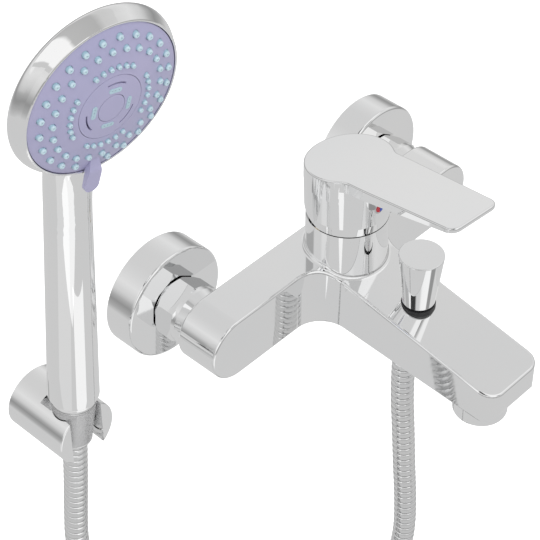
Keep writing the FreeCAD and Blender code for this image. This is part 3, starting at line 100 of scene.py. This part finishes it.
# Free runs of the hose in rows of reach, height and X: from the mixer, with the reach from the outlet's, and
# from the coil to the hand shower, with the X from the bracket's
mixer_run = ((0.0, -58.0, 0.0), (2.6, -84.0, 0.0), (4.6, -110.0, 0.1), (7.4, -137.0, 0.0),
             (8.6, -164.0, -0.3), (6.0, -190.0, -3.0))
handset_run = ((55.5, -189.0, 10.1), (43.3, -163.0, 4.6), (30.6, -136.0, -0.2), (22.6, -109.0, -2.6),
               (22.9, -81.0, -0.8))

# Hand shower, as it lies in the bracket
bracket_x = -153.5
handset_reach = 29.8
handset_foot_height = 7.4
handset_tilt = 4.45
handset_turn = 6.1
face_along = 193.2
face_forward = 24.8
face_tilt = 3.7
face_radius = 34.6
face_crown = 6.1
selector_turn = 11.0

# Nozzles of the spray face: radius, count and size of each ring, and the four groups inside them
nozzle_rings = ((30.2, 24, 1.45), (25.3, 24, 1.35))
inner_ring = 18.4
inner_size = 1.1
inner_group_turn = -5.0
inner_step = 11.2
nozzle_height = 1.4
nozzle_hole = 0.36

# Cone nut under the hand shower, heights measured from the handle's foot
nut_top = -1.0
nut_length = 32.0
nut_top_radius = 11.0
nut_end_radius = 8.3
nut_collar_length = 3.6
nut_chamfer = 1.0
knurl_depth = 0.3
knurl_count = 60

# X at which the lever's index turns from red to blue, in metres
index_split = -0.0016

# Most values of a noise lie between these
noise_low = 0.3
noise_high = 0.7


def on_axis(reach, height, x):
    """Point by its reach from the wall and its height over the mixer's axis, all in millimetres."""
    return Vector((x, -reach, axis_height + height)) * MM


def bracket_frame(swivelled=True):
    """From millimetres about the handle's foot to its place in the bracket."""
    turn = math.radians(-handset_turn if swivelled else 0.0)
    return (Matrix.Translation(on_axis(handset_reach, handset_foot_height, bracket_x))
            @ Matrix.Rotation(math.radians(handset_tilt), 4, "X") @ Matrix.Rotation(turn, 4, "Z")
            @ Matrix.Scale(MM, 4))


def face_frame():
    """From millimetres about the spray face's middle, facing -Y, to its place on the head."""
    return (bracket_frame() @ Matrix.Translation((0.0, -face_forward, face_along))
            @ Matrix.Rotation(math.radians(face_tilt), 4, "X")
            @ Matrix.Rotation(math.radians(selector_turn), 4, "Y"))


# Materials

def material(name, colour, metallic, roughness):
    """New material; returns it and its principled shader."""
    made = bpy.data.materials.new(name)
    made.use_nodes = True
    shader = made.node_tree.nodes["Principled BSDF"]
    shader.inputs["Base Color"].default_value = (*colour, 1.0)
    shader.inputs["Metallic"].default_value = metallic
    shader.inputs["Roughness"].default_value = roughness
    return made, shader


def add_node(made, kind, **values):
    """New node of a material or a world."""
    node = made.node_tree.nodes.new(kind)
    for key, value in values.items():
        setattr(node, key, value)
    return node


def link(made, start, end):
    made.node_tree.links.new(start, end)


def object_noise(made, scale, detail):
    """Noise in the object's own space, in cells per metre."""
    place = add_node(made, "ShaderNodeTexCoord")
    noise = add_node(made, "ShaderNodeTexNoise")
    noise.inputs["Scale"].default_value = scale
    noise.inputs["Detail"].default_value = detail
    link(made, place.outputs["Object"], noise.inputs["Vector"])
    return noise.outputs["Fac"]


def spread(made, source, low, high):
    """Map most of a noise to a range."""
    ranged = add_node(made, "ShaderNodeMapRange")
    ranged.inputs["From Min"].default_value = noise_low
    ranged.inputs["From Max"].default_value = noise_high
    ranged.inputs["To Min"].default_value = low
    ranged.inputs["To Max"].default_value = high
    link(made, source, ranged.inputs["Value"])
    return ranged.outputs["Result"]


def two_colours(made, source, first, second):
    ramp = add_node(made, "ShaderNodeValToRGB")
    ramp.color_ramp.elements[0].position = noise_low
    ramp.color_ramp.elements[0].color = (*first, 1.0)
    ramp.color_ramp.elements[1].position = noise_high
    ramp.color_ramp.elements[1].color = (*second, 1.0)
    link(made, source, ramp.inputs["Fac"])
    return ramp.outputs["Color"]


def bump(made, shader, source, distance):
    node = add_node(made, "ShaderNodeBump")
    node.inputs["Distance"].default_value = distance
    link(made, source, node.inputs["Height"])
    link(made, node.outputs["Normal"], shader.inputs["Normal"])


def chrome(name, shade, low, high, waviness):
    """Polished chrome: hardly any colour, faint smears in the polish and the slow waves of a cast surface."""
    made, shader = material(name, (shade, shade, shade), 1.0, 0.05)
    tone = object_noise(made, 18.0, 3.0)
    warm = (shade, shade * 0.998, shade * 0.994)
    cool = (shade * 0.975, shade * 0.98, shade * 0.985)
    link(made, two_colours(made, tone, cool, warm), shader.inputs["Base Color"])
    link(made, spread(made, object_noise(made, 90.0, 4.0), low, high), shader.inputs["Roughness"])
    bump(made, shader, object_noise(made, 26.0, 1.0), waviness)
    return made


def moulded(name, first, second, roughness, grain, coat=0.0):
    """Moulded plastic or rubber: slow variation of colour and a fine skin."""
    made, shader = material(name, first, 0.0, roughness)
    link(made, two_colours(made, object_noise(made, 40.0, 2.0), first, second), shader.inputs["Base Color"])
    link(made, spread(made, object_noise(made, 700.0, 2.0), roughness * 0.85, roughness * 1.15),
         shader.inputs["Roughness"])
    bump(made, shader, object_noise(made, 2600.0, 3.0), grain)
    shader.inputs["Coat Weight"].default_value = coat
    return made


def turned_metal(name, first, second, roughness):
    """Bare turned metal with fine marks."""
    made, shader = material(name, first, 1.0, roughness)
    link(made, two_colours(made, object_noise(made, 120.0, 4.0), first, second), shader.inputs["Base Color"])
    link(made, spread(made, object_noise(made, 900.0, 3.0), roughness * 0.7, roughness * 1.4),
         shader.inputs["Roughness"])
    bump(made, shader, object_noise(made, 3000.0, 2.0), 0.00001)
    return made


def knurled_chrome_painted_shade():
    """Chrome with painted shade in the knurl's grooves: its colour darkens where the mesh stores how deep it
    is cut.
    """
    made, shader = material("chrome_knurled_painted_groove_shade", (0.9, 0.9, 0.9), 1.0, 0.12)
    depth = add_node(made, "ShaderNodeAttribute", attribute_name="groove")
    # painted shade: the base colour goes from bright chrome on the diamonds to dark grey in the grooves
    painted_light_colours = two_colours(made, depth.outputs["Fac"], (0.93, 0.93, 0.93), (0.6, 0.6, 0.61))
    link(made, painted_light_colours, shader.inputs["Base Color"])
    link(made, spread(made, object_noise(made, 500.0, 3.0), 0.1, 0.2), shader.inputs["Roughness"])
    return made


def nozzle_silicone_painted_light():
    """Silicone with painted light: paler at a nozzle's tip as a painted highlight and darker down its sides
    and base as painted shade, by the height the mesh stores.
    """
    made, shader = material("pale_blue_nozzles_painted_light", (0.5, 0.65, 0.72), 0.0, 0.42)
    height = add_node(made, "ShaderNodeAttribute", attribute_name="rise")
    # painted shade on the low sides and base, painted highlight on the tip
    painted_light_colours = two_colours(made, height.outputs["Fac"], (0.34, 0.51, 0.61), (0.56, 0.72, 0.79))
    link(made, painted_light_colours, shader.inputs["Base Color"])
    bump(made, shader, object_noise(made, 2600.0, 3.0), 0.00001)
    return made


chrome_body = chrome("chrome_cast", 0.93, 0.02, 0.055, 0.00003)
chrome_turned = chrome("chrome_turned", 0.93, 0.015, 0.045, 0.000008)
chrome_plastic = chrome("chrome_moulded", 0.93, 0.02, 0.05, 0.00003)
chrome_hose = chrome("chrome_strip", 0.82, 0.06, 0.14, 0.00001)
# dark chrome for the hose's groove faces: painted shade between the ribs
chrome_groove_painted_shade = chrome("chrome_strip_groove_painted_shade", 0.16, 0.25, 0.4, 0.00001)
brass = turned_metal("brass_turned", (0.78, 0.6, 0.32), (0.7, 0.52, 0.26), 0.3)
steel = turned_metal("steel_bright", (0.62, 0.62, 0.63), (0.54, 0.54, 0.56), 0.28)
lilac = moulded("lilac_moulded", (0.405, 0.395, 0.585), (0.43, 0.41, 0.6), 0.33, 0.00001, 0.1)
silicone = moulded("pale_blue_silicone", (0.42, 0.58, 0.66), (0.46, 0.62, 0.69), 0.42, 0.00001)
nozzle_skin_painted_light = nozzle_silicone_painted_light()
white_plastic = moulded("white_moulded", (0.8, 0.8, 0.78), (0.74, 0.74, 0.72), 0.45, 0.00002)
black_plastic = moulded("black_moulded", (0.015, 0.015, 0.016), (0.03, 0.03, 0.032), 0.5, 0.00002)
black_rubber = moulded("black_rubber", (0.02, 0.02, 0.02), (0.035, 0.035, 0.034), 0.7, 0.00003)
ceramic = moulded("ceramic_lapped", (0.86, 0.85, 0.82), (0.8, 0.79, 0.76), 0.2, 0.000002)
chrome_knurl_painted_shade = knurled_chrome_painted_shade()
index_grey = moulded("index_plug_grey", (0.55, 0.55, 0.56), (0.6, 0.6, 0.61), 0.3, 0.000004)


def index_colours():
    """Red towards -X and blue towards +X."""
    made, shader = material("index_red_blue", (0.6, 0.01, 0.03), 0.0, 0.25)
    place = add_node(made, "ShaderNodeTexCoord")
    parts = add_node(made, "ShaderNodeSeparateXYZ")
    side = add_node(made, "ShaderNodeMath", operation="GREATER_THAN")
    side.inputs[1].default_value = index_split
    mixed = add_node(made, "ShaderNodeMix", data_type="RGBA")
    mixed.inputs["A"].default_value = (0.6, 0.01, 0.03, 1.0)
    mixed.inputs["B"].default_value = (0.02, 0.1, 0.55, 1.0)
    link(made, place.outputs["Object"], parts.inputs["Vector"])
    link(made, parts.outputs["X"], side.inputs[0])
    link(made, side.outputs["Value"], mixed.inputs["Factor"])
    link(made, mixed.outputs["Result"], shader.inputs["Base Color"])
    bump(made, shader, object_noise(made, 2000.0, 2.0), 0.000004)
    return made


index_marks = index_colours()

slot_materials = {
    "chrome_metal": chrome_body, "raw_brass": brass, "black_rubber": black_rubber,
    "black_plastic": black_plastic,
    "white_plastic": white_plastic, "ceramic_disc": ceramic, "bare_steel": steel, "hose_metal": chrome_hose,
    "index_grey": index_grey, "index_red_blue": index_marks, "chromed_plastic": chrome_plastic,
    "lilac_plastic": lilac, "pale_blue_silicone": silicone,
}
turned_nodes = ("rosette_left", "rosette_right", "union_nut_left", "union_nut_right", "eccentric_union_left",
                "eccentric_union_right", "diverter_knob", "aerator_housing", "bracket_body", "dome_ring",
                "hose_nut_mixer")


def dress_nodes():
    """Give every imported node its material."""
    for row in frame["record"]["subparts"]:
        node = frame["nodes"][row["node"]]
        made = slot_materials[row["material_slot"]]
        if row["node"] in turned_nodes:
            made = chrome_turned
        node.data.materials.clear()
        node.data.materials.append(made)


dress_nodes()


# Meshes

def add_mesh(name, points, faces, made, body, replaced):
    """New smooth piece from points and faces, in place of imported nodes. It rides on a body if one is
    given."""
    mesh = bpy.data.meshes.new(name)
    mesh.from_pydata([tuple(point) for point in points], [], faces)
    mesh.validate()
    mesh.materials.append(made)
    mesh.shade_smooth()
    piece = bpy.data.objects.new(name, mesh)
    bpy.context.scene.collection.objects.link(piece)
    if body:
        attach(piece, body)
    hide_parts(*replaced)
    return piece


def loft_faces(rings, around, closed=True):
    """Quads between rings of equal size, and caps on both ends if it is closed."""
    faces = []
    for ring in range(rings - 1):
        low = ring * around
        high = low + around
        for step in range(around):
            following = (step + 1) % around
            faces.append((low + step, low + following, high + following, high + step))
    if closed:
        last = (rings - 1) * around
        faces.append(tuple(range(around))[::-1])
        faces.append(tuple(range(last, last + around)))
    return faces


# Cone nut with its knurled grip, and the silicone nozzles

def build_nut():
    """Nut under the hand shower: smooth collar, diamond knurl, chamfer and the bore for the hose."""
    place = bracket_frame()
    around = knurl_count * 4
    grip_top = nut_top - nut_collar_length
    grip_end = nut_top - nut_length + nut_chamfer
    bore = hose_radius + 0.2
    rows = [(nut_top, bore + 2.0), (nut_top, nut_top_radius - 0.3), (nut_top - 0.3, nut_top_radius),
            (grip_top + 0.25, nut_radius(grip_top)), (grip_top, nut_radius(grip_top) - 0.25)]
    rings = [[(radius, height)] * around for height, radius in rows]
    pitch = 2.0 * math.pi * nut_radius(-nut_length / 2.0) / knurl_count
    grip_rows = round((grip_top - grip_end) / pitch * 4.0)
    for row in range(grip_rows + 1):
        height = grip_top + (grip_end - grip_top) * row / grip_rows
        ends = min(1.0, (grip_top - height) / 0.8, (height - grip_end) / 0.8)
        ring = []
        for step in range(around):
            cut = knurl(step / 4.0, (grip_top - height) / pitch) * knurl_depth * ends
            ring.append((nut_radius(height) - cut, height))
        rings.append(ring)
    last = nut_top - nut_length
    for height, radius in ((grip_end, nut_end_radius - 0.1), (last, nut_end_radius - nut_chamfer),
                           (last, bore), (last + 3.0, bore)):
        rings.append([(radius, height)] * around)
    points = []
    groove_shade_depths = []
    for ring in rings:
        for step, (radius, height) in enumerate(ring):
            angle = 2.0 * math.pi * step / around
            groove_shade_depths.append((nut_radius(height) - radius) / knurl_depth)
            points.append(place @ Vector((radius * math.cos(angle), radius * math.sin(angle), height)))
    faces = loft_faces(len(rings), around, closed=False)
    nut = add_mesh("hose_cone_nut", points, faces, chrome_knurl_painted_shade, "handset",
                   ("hose_nut_handset",))
    # groove depth, stored for the knurl's painted groove shade
    stored = nut.data.attributes.new("groove", "FLOAT", "POINT")
    stored.data.foreach_set("value", groove_shade_depths)
    return nut


def nut_radius(height):
    share = (nut_top - height) / nut_length
    return nut_top_radius + share * (nut_end_radius - nut_top_radius)


def knurl(across, down):
    """Depth of the knurl's two crossing sets of grooves, from 0 on a diamond to 1 in a groove."""
    first = abs((across + down) % 1.0 - 0.5) * 2.0
    second = abs((across - down) % 1.0 - 0.5) * 2.0
    return max(first, second) ** 1.5


def nozzle_places():
    """Radius, angle and size of every nozzle; the outer ring has none under the selector's tab."""
    places = []
    for ring, (radius, count, size) in enumerate(nozzle_rings):
        for step in range(count):
            angle = 360.0 / count * (step + 0.5 * ring)
            if ring == 1 or abs(angle - 180.0) > 1.0:
                places.append((radius, angle, size))
    for group in range(4):
        for step in range(6):
            angle = inner_group_turn + 90.0 * group + inner_step * (step - 2.5)
            places.append((inner_ring, angle, inner_size))
    return places


def nozzle_rows(size):
    """Radius and height over the face of a nozzle's outline, from under the face to the floor of its hole."""
    return ((size, -1.6), (size, 0.15), (size - 0.12, 0.3), (size - 0.18, nozzle_height * 0.6),
            (size - 0.3, nozzle_height * 0.88), (size - 0.55, nozzle_height),
            (nozzle_hole + 0.1, nozzle_height), (nozzle_hole, nozzle_height - 0.1), (nozzle_hole, 0.2))


def build_nozzles():
    place = face_frame()
    sphere = (face_radius ** 2 + face_crown ** 2) / (2.0 * face_crown)
    around = 20
    points = []
    rises = []
    faces = []
    for radius, angle, size in nozzle_places():
        turn = math.radians(angle)
        depth = sphere - face_crown - math.sqrt(sphere ** 2 - radius ** 2)
        middle = Vector((radius * math.sin(turn), depth, radius * math.cos(turn)))
        first = len(points)
        rows = nozzle_rows(size)
        for outward, height in rows:
            for step in range(around):
                way = 2.0 * math.pi * step / around
                rim = Vector((outward * math.cos(way), -height, outward * math.sin(way)))
                points.append(place @ (middle + rim))
                rises.append(height / nozzle_height)
        for face in loft_faces(len(rows), around):
            faces.append(tuple(first + corner for corner in face))
    nozzles = add_mesh("spray_nozzles", points, faces, nozzle_skin_painted_light, "selector",
                       ("nozzle_mat",))
    # height stored for the nozzles' painted light and shade
    stored = nozzles.data.attributes.new("rise", "FLOAT", "POINT")
    stored.data.foreach_set("value", rises)


build_nozzles()


# Hose: one ribbed tube along the route, from the mixer to the hand shower

def route_points():
    """The hose's route in metres: down from the mixer, round the coil and up to the hand shower."""
    start = [mixer_exit()]
    start += [on_axis(outlet_reach + reach, height, x) for reach, height, x in mixer_run]
    end = [on_axis(reach, height, bracket_x + x) for reach, height, x in handset_run]
    end += [in_bore(handset_exit_height - handset_run_start), in_bore(handset_exit_height)]
    turn = 2.0 * math.pi * coil_turns
    coil = [coil_place(0.0) - coil_direction(0.0) * (coil_lead + hose_run_end) * MM,
            coil_place(0.0) - coil_direction(0.0) * coil_lead * MM]
    steps = int(coil_steps * coil_turns)
    swell = 1.0 / math.cos(math.pi / coil_steps)
    for step in range(steps):
        coil.append(coil_place(turn * (step + 0.5) / steps, swell))
    coil.append(coil_place(turn) + coil_direction(turn) * coil_lead * MM)
    coil.append(coil_place(turn) + coil_direction(turn) * (coil_lead + hose_run_end) * MM)
    return start + coil + end


def mixer_exit():
    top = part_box("hose_mixer_run")[1].z
    return Vector((0.0, -outlet_reach * MM, top))


def in_bore(height):
    """Point on the handle's axis at a height over its foot."""
    return bracket_frame(swivelled=False) @ Vector((0.0, 0.0, height))


def coil_place(angle, swell=1.0):
    reach = coil_centre_reach + coil_pitch * (coil_turns / 2.0 - angle / (2.0 * math.pi))
    radius = coil_radius * swell
    return on_axis(reach, -coil_drop - radius * math.sin(angle), coil_centre_x + radius * math.cos(angle))


def coil_direction(angle):
    rise = coil_pitch / (2.0 * math.pi)
    return Vector((-coil_radius * math.sin(angle), rise, -coil_radius * math.cos(angle))).normalized()


def smooth_line(points):
    """Points of the smooth line that the route's points control."""
    curve = bpy.data.curves.new("hose_route", "CURVE")
    curve.dimensions = "3D"
    curve.resolution_u = 24
    spline = curve.splines.new("NURBS")
    spline.points.add(len(points) - 1)
    for control, point in zip(spline.points, points):
        control.co = (*point, 1.0)
    spline.order_u = 3
    spline.use_endpoint_u = True
    holder = bpy.data.objects.new("hose_route", curve)
    line = bpy.data.meshes.new_from_object(holder)
    found = [vertex.co.copy() for vertex in line.vertices]
    bpy.data.objects.remove(holder)
    bpy.data.meshes.remove(line)
    return found


def distances_along(line):
    found = [0.0]
    for before, after in zip(line, line[1:]):
        found.append(found[-1] + (after - before).length)
    return found


def rib_profile():
    """Share of one rib's pitch and the radius there, in millimetres."""
    crest = hose_radius
    groove = hose_radius - hose_groove_depth
    return ((0.0, groove), (0.06, groove), (0.1, crest - 0.22), (0.22, crest - 0.06), (0.5, crest),
            (0.78, crest - 0.06), (0.9, crest - 0.22), (0.94, groove))


def build_hose(nut):
    line = smooth_line(route_points())
    along = distances_along(line)
    total = along[-1]
    count = round(total / (hose_pitch * MM))
    pitch = total / count
    around = 28
    profile = rib_profile()
    groove_rings = (0, len(profile) - 1)
    points = []
    place = 0
    normal = Vector((1.0, 0.0, 0.0))
    rings = 0
    for rib in range(count):
        for share, radius in profile:
            distance = (rib + share) * pitch
            while place < len(line) - 2 and along[place + 1] < distance:
                place += 1
            part = (distance - along[place]) / (along[place + 1] - along[place])
            centre = line[place].lerp(line[place + 1], part)
            direction = steady_direction(line, along, distance, place)
            normal = (normal - direction * normal.dot(direction)).normalized()
            across = direction.cross(normal)
            for step in range(around):
                angle = 2.0 * math.pi * step / around
                outward = normal * math.cos(angle) + across * math.sin(angle)
                points.append(centre + outward * radius * MM)
            rings += 1
    hose = add_mesh("shower_hose", points, loft_faces(rings, around), chrome_hose, None,
                    ("hose_mixer_run", "hose_coil", "hose_handset_run"))
    # groove faces take the dark chrome: painted shade between the ribs
    hose.data.materials.append(chrome_groove_painted_shade)
    for face in hose.data.polygons:
        if len(face.vertices) == 4 and face.vertices[0] // around % len(profile) in groove_rings:
            face.material_index = 1
    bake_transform(hose)


def steady_direction(line, along, distance, place):
    """Direction of the line, blended between the directions at the ends of its short step."""
    before = line[max(place - 1, 0)]
    here = line[place]
    following = line[place + 1]
    after = line[min(place + 2, len(line) - 1)]
    first = (following - before).normalized()
    second = (after - here).normalized()
    share = (distance - along[place]) / (along[place + 1] - along[place])
    return first.lerp(second, share).normalized()


build_hose(build_nut())


# Studio: a direction's height is its upward part, and its way round is part of a turn from -X through -Y

floor_half_width = 6.0
floor_drop = 0.25
floor_glow = 0.62
diffuse_level = 0.62
tent_grey = 0.63

# Light tent, in rows of place and level. The walls' place runs from 0 straight down to 1 straight up, the
# roof's is the height, and the rings' is the way round, with factors on the roof.
wall_levels = ((0.3, tent_grey), (0.37, 0.42), (0.46, 0.3), (0.53, 0.34), (0.62, tent_grey))
roof_levels = ((0.0, tent_grey), (0.3, 0.72), (0.45, 0.79), (0.68, 0.71), (0.81, 0.67))
low_ring_levels = ((0.0, 1.0), (0.16, 1.0), (0.185, 1.4), (0.262, 1.4), (0.272, 0.45), (0.318, 0.45),
                   (0.33, 1.0), (0.69, 1.0), (0.71, 0.6), (0.82, 0.6), (0.835, 1.0), (0.9, 1.0),
                   (0.92, 1.15), (0.96, 1.15), (0.985, 1.0))
high_ring_levels = ((0.0, 0.07), (0.1, 0.07), (0.14, 0.8), (0.2, 1.4), (0.46, 1.4), (0.53, 1.0),
                    (0.92, 1.0), (0.94, 0.07))

# Heights between which one part of the tent goes over to the next
walls_to_roof = (-0.1, 0.35)
roof_to_rings = (0.42, 0.48)
low_to_high_ring = (0.7, 0.73)

# Card over the hand shower's head, that its side reflects: levels by X
head_card_height = 0.33
head_card_near = -0.14
head_card_far = 0.04
head_card_levels = ((-0.32, 0.62), (-0.292, 0.62), (-0.284, 0.98), (-0.2, 0.98), (-0.19, 0.52),
                    (-0.125, 0.47), (-0.105, 0.62), (-0.06, 0.66))

# Strip lights beside the handle that only glossy surfaces see: way round from the handle's axis, width,
# lowest and highest point, roll in degrees, and level
strip_distance = 0.1
strip_lights = (
    ("handle_strip_low", 0.228, 0.088, -0.11, -0.01, 0.0, 0.34),
    ("handle_strip_high", 0.16, 0.072, -0.022, 0.1, -38.0, 0.34),
    ("handle_strip_soft", 0.06, 0.1, -0.1, 0.085, -15.0, 0.09),
)

# Soft lamps: place from the point they face, width and power
lamp_target = Vector((-0.05, -0.08, 0.05))
soft_lamps = (
    ("key_light", (-0.9, -0.9, 1.6), 1.4, 16.0),
    ("fill_light", (1.4, -1.0, 0.9), 1.6, 7.0),
    ("rear_light", (-0.4, 1.5, 1.2), 1.6, 6.0),
)


def floor_material():
    """Pale floor: white to the camera, with the object's shadow on it."""
    made, shader = material("floor_white", (0.9, 0.9, 0.9), 0.0, 0.9)
    glow = add_node(made, "ShaderNodeEmission")
    glow.inputs["Color"].default_value = (1.0, 1.0, 1.0, 1.0)
    path = add_node(made, "ShaderNodeLightPath")
    strength = add_node(made, "ShaderNodeMath", operation="MULTIPLY")
    strength.inputs[1].default_value = floor_glow
    both = add_node(made, "ShaderNodeAddShader")
    output = made.node_tree.nodes["Material Output"]
    link(made, path.outputs["Is Camera Ray"], strength.inputs[0])
    link(made, strength.outputs["Value"], glow.inputs["Strength"])
    link(made, shader.outputs["BSDF"], both.inputs[0])
    link(made, glow.outputs["Emission"], both.inputs[1])
    link(made, both.outputs["Shader"], output.inputs["Surface"])
    return made


def add_floor():
    size = floor_half_width
    height = cad_box[0].z - floor_drop
    mesh = bpy.data.meshes.new("floor")
    corners = [(-size, -size, height), (size, -size, height), (size, size, height), (-size, size, height)]
    mesh.from_pydata(corners, [], [(0, 1, 2, 3)])
    mesh.materials.append(floor_material())
    floor = bpy.data.objects.new("floor", mesh)
    bpy.context.scene.collection.objects.link(floor)
    floor.visible_glossy = False


def add_world():
    """White to the camera, a plain level for diffuse light, and a light tent with dark gaps for gloss."""
    world = bpy.data.worlds.new("light_tent")
    world.use_nodes = True
    world.node_tree.nodes.clear()
    place = add_node(world, "ShaderNodeTexCoord")
    parts = add_node(world, "ShaderNodeSeparateXYZ")
    link(world, place.outputs["Generated"], parts.inputs["Vector"])
    azimuth = add_node(world, "ShaderNodeMath", operation="ARCTAN2")
    link(world, parts.outputs["Y"], azimuth.inputs[0])
    link(world, parts.outputs["X"], azimuth.inputs[1])
    height = parts.outputs["Z"]
    around = span_of(world, azimuth.outputs["Value"], -math.pi, math.pi)
    roof = tent_roof(world, height, around)
    walls = ramp_of(world, span_of(world, height, -1.0, 1.0), wall_levels)
    tent = mixed_over(world, walls, roof, span_of(world, height, *walls_to_roof))
    path = add_node(world, "ShaderNodeLightPath")
    glossy = add_node(world, "ShaderNodeMix", data_type="RGBA")
    glossy.inputs["A"].default_value = (diffuse_level, diffuse_level, diffuse_level, 1.0)
    link(world, path.outputs["Is Glossy Ray"], glossy.inputs["Factor"])
    link(world, tent, glossy.inputs["B"])
    seen = add_node(world, "ShaderNodeMix", data_type="RGBA")
    seen.inputs["B"].default_value = (1.0, 1.0, 1.0, 1.0)
    link(world, path.outputs["Is Camera Ray"], seen.inputs["Factor"])
    link(world, glossy.outputs["Result"], seen.inputs["A"])
    background = add_node(world, "ShaderNodeBackground")
    link(world, seen.outputs["Result"], background.inputs["Color"])
    output = add_node(world, "ShaderNodeOutputWorld")
    link(world, background.outputs["Background"], output.inputs["Surface"])
    bpy.context.scene.world = world


def tent_roof(world, height, around):
    """Roof by height, with a low and a high ring of white cloth and gaps that only reflections off the flat
    tops of the mixer reach."""
    plain = ramp_of(world, height, roof_levels)
    low = ramp_of(world, around, low_ring_levels)
    high = ramp_of(world, around, high_ring_levels)
    rings = mixed_over(world, low, high, span_of(world, height, *low_to_high_ring))
    return mixed_over(world, plain, rings, span_of(world, height, *roof_to_rings), "MULTIPLY")


def ramp_of(made, source, stops):
    """Grey ramp from (position, level) stops."""
    ramp = add_node(made, "ShaderNodeValToRGB")
    elements = ramp.color_ramp.elements
    while len(elements) > 1:
        elements.remove(elements[0])
    elements[0].position = stops[0][0]
    elements[0].color = (stops[0][1], stops[0][1], stops[0][1], 1.0)
    for position, level in stops[1:]:
        element = elements.new(position)
        element.color = (level, level, level, 1.0)
    link(made, source, ramp.inputs["Fac"])
    return ramp.outputs["Color"]


def span_of(made, source, start, end):
    """Share from 0 where a value is at the start to 1 where it is at the end."""
    share = add_node(made, "ShaderNodeMapRange")
    share.inputs["From Min"].default_value = start
    share.inputs["From Max"].default_value = end
    link(made, source, share.inputs["Value"])
    return share.outputs["Result"]


def mixed_over(made, below, above, share, way="MIX"):
    mixed = add_node(made, "ShaderNodeMix", data_type="RGBA", blend_type=way)
    link(made, share, mixed.inputs["Factor"])
    link(made, below, mixed.inputs["A"])
    link(made, above, mixed.inputs["B"])
    return mixed.outputs["Result"]


def head_card_material():
    """Glow by the place stored in the mesh on the card's front, and the tent's grey on its back."""
    start = head_card_levels[0][0]
    end = head_card_levels[-1][0]
    made = bpy.data.materials.new("head_card")
    made.use_nodes = True
    made.node_tree.nodes.clear()
    place = add_node(made, "ShaderNodeAttribute", attribute_name="place")
    stops = [((along - start) / (end - start), level) for along, level in head_card_levels]
    inside = ramp_of(made, place.outputs["Fac"], stops)
    side = add_node(made, "ShaderNodeNewGeometry")
    mixed = add_node(made, "ShaderNodeMix", data_type="RGBA")
    mixed.inputs["B"].default_value = (tent_grey, tent_grey, tent_grey, 1.0)
    link(made, side.outputs["Backfacing"], mixed.inputs["Factor"])
    link(made, inside, mixed.inputs["A"])
    glow = add_node(made, "ShaderNodeEmission")
    link(made, mixed.outputs["Result"], glow.inputs["Color"])
    output = add_node(made, "ShaderNodeOutputMaterial")
    link(made, glow.outputs["Emission"], output.inputs["Surface"])
    return made


def add_head_card():
    """Glowing sheet that nothing but reflections sees."""
    start = head_card_levels[0][0]
    end = head_card_levels[-1][0]
    corners = [(start, head_card_near), (start, head_card_far), (end, head_card_far), (end, head_card_near)]
    mesh = bpy.data.meshes.new("head_card")
    mesh.from_pydata([(along, across, head_card_height) for along, across in corners], [], [(0, 1, 2, 3)])
    mesh.materials.append(head_card_material())
    stored = mesh.attributes.new("place", "FLOAT", "POINT")
    stored.data.foreach_set("value", [0.0, 0.0, 1.0, 1.0])
    card = bpy.data.objects.new("head_card", mesh)
    bpy.context.scene.collection.objects.link(card)
    for unseen in ("visible_camera", "visible_diffuse", "visible_shadow", "visible_transmission"):
        setattr(card, unseen, False)


def new_lamp(name, shape, size, power):
    data = bpy.data.lights.new(name, "AREA")
    data.shape = shape
    data.size = size
    data.energy = power
    lamp = bpy.data.objects.new(name, data)
    bpy.context.scene.collection.objects.link(lamp)
    return lamp


def add_strip_lights():
    handle = on_axis(handset_reach, 0.0, bracket_x)
    for name, way, width, low, high, roll, level in strip_lights:
        angle = 2.0 * math.pi * way - math.pi
        outward = Vector((math.cos(angle), math.sin(angle), 0.0))
        lamp = new_lamp(name, "RECTANGLE", width, level * math.pi * width * (high - low))
        lamp.data.size_y = high - low
        facing = outward.to_track_quat("Z", "Y").to_matrix() @ Matrix.Rotation(math.radians(roll), 3, "Z")
        middle = Vector((handle.x, handle.y, (low + high) / 2.0)) + outward * strip_distance
        lamp.matrix_world = Matrix.Translation(middle) @ facing.to_4x4()
        for unseen in ("visible_camera", "visible_diffuse", "visible_transmission"):
            setattr(lamp, unseen, False)


def add_soft_lamps():
    for name, offset, width, power in soft_lamps:
        lamp = new_lamp(name, "DISK", width, power)
        place = lamp_target + Vector(offset)
        lamp.location = place
        lamp.rotation_mode = "QUATERNION"
        lamp.rotation_quaternion = (lamp_target - place).to_track_quat("-Z", "Y")
        lamp.visible_glossy = False
        lamp.visible_camera = False


def add_camera():
    azimuth = math.radians(camera_azimuth)
    elevation = math.radians(camera_elevation)
    back = Vector((math.sin(azimuth) * math.cos(elevation), -math.cos(azimuth) * math.cos(elevation),
                   math.sin(elevation)))
    data = bpy.data.cameras.new("photo_camera")
    data.sensor_fit = "HORIZONTAL"
    data.sensor_width = sensor_width
    data.lens = camera_focal_pixels / image_width * sensor_width
    data.clip_start = 0.05
    data.clip_end = 20.0
    camera = bpy.data.objects.new("photo_camera", data)
    bpy.context.scene.collection.objects.link(camera)
    roll = Matrix.Rotation(math.radians(camera_roll), 3, "Z")
    upright = (-back).to_track_quat("-Z", "Y").to_matrix()
    camera.matrix_world = Matrix.Translation(camera_place) @ (upright @ roll).to_4x4()
    bpy.context.scene.camera = camera


add_floor()
add_world()
add_head_card()
add_strip_lights()
add_soft_lamps()
add_camera()
bpy.context.scene.view_settings.view_transform = "Standard"
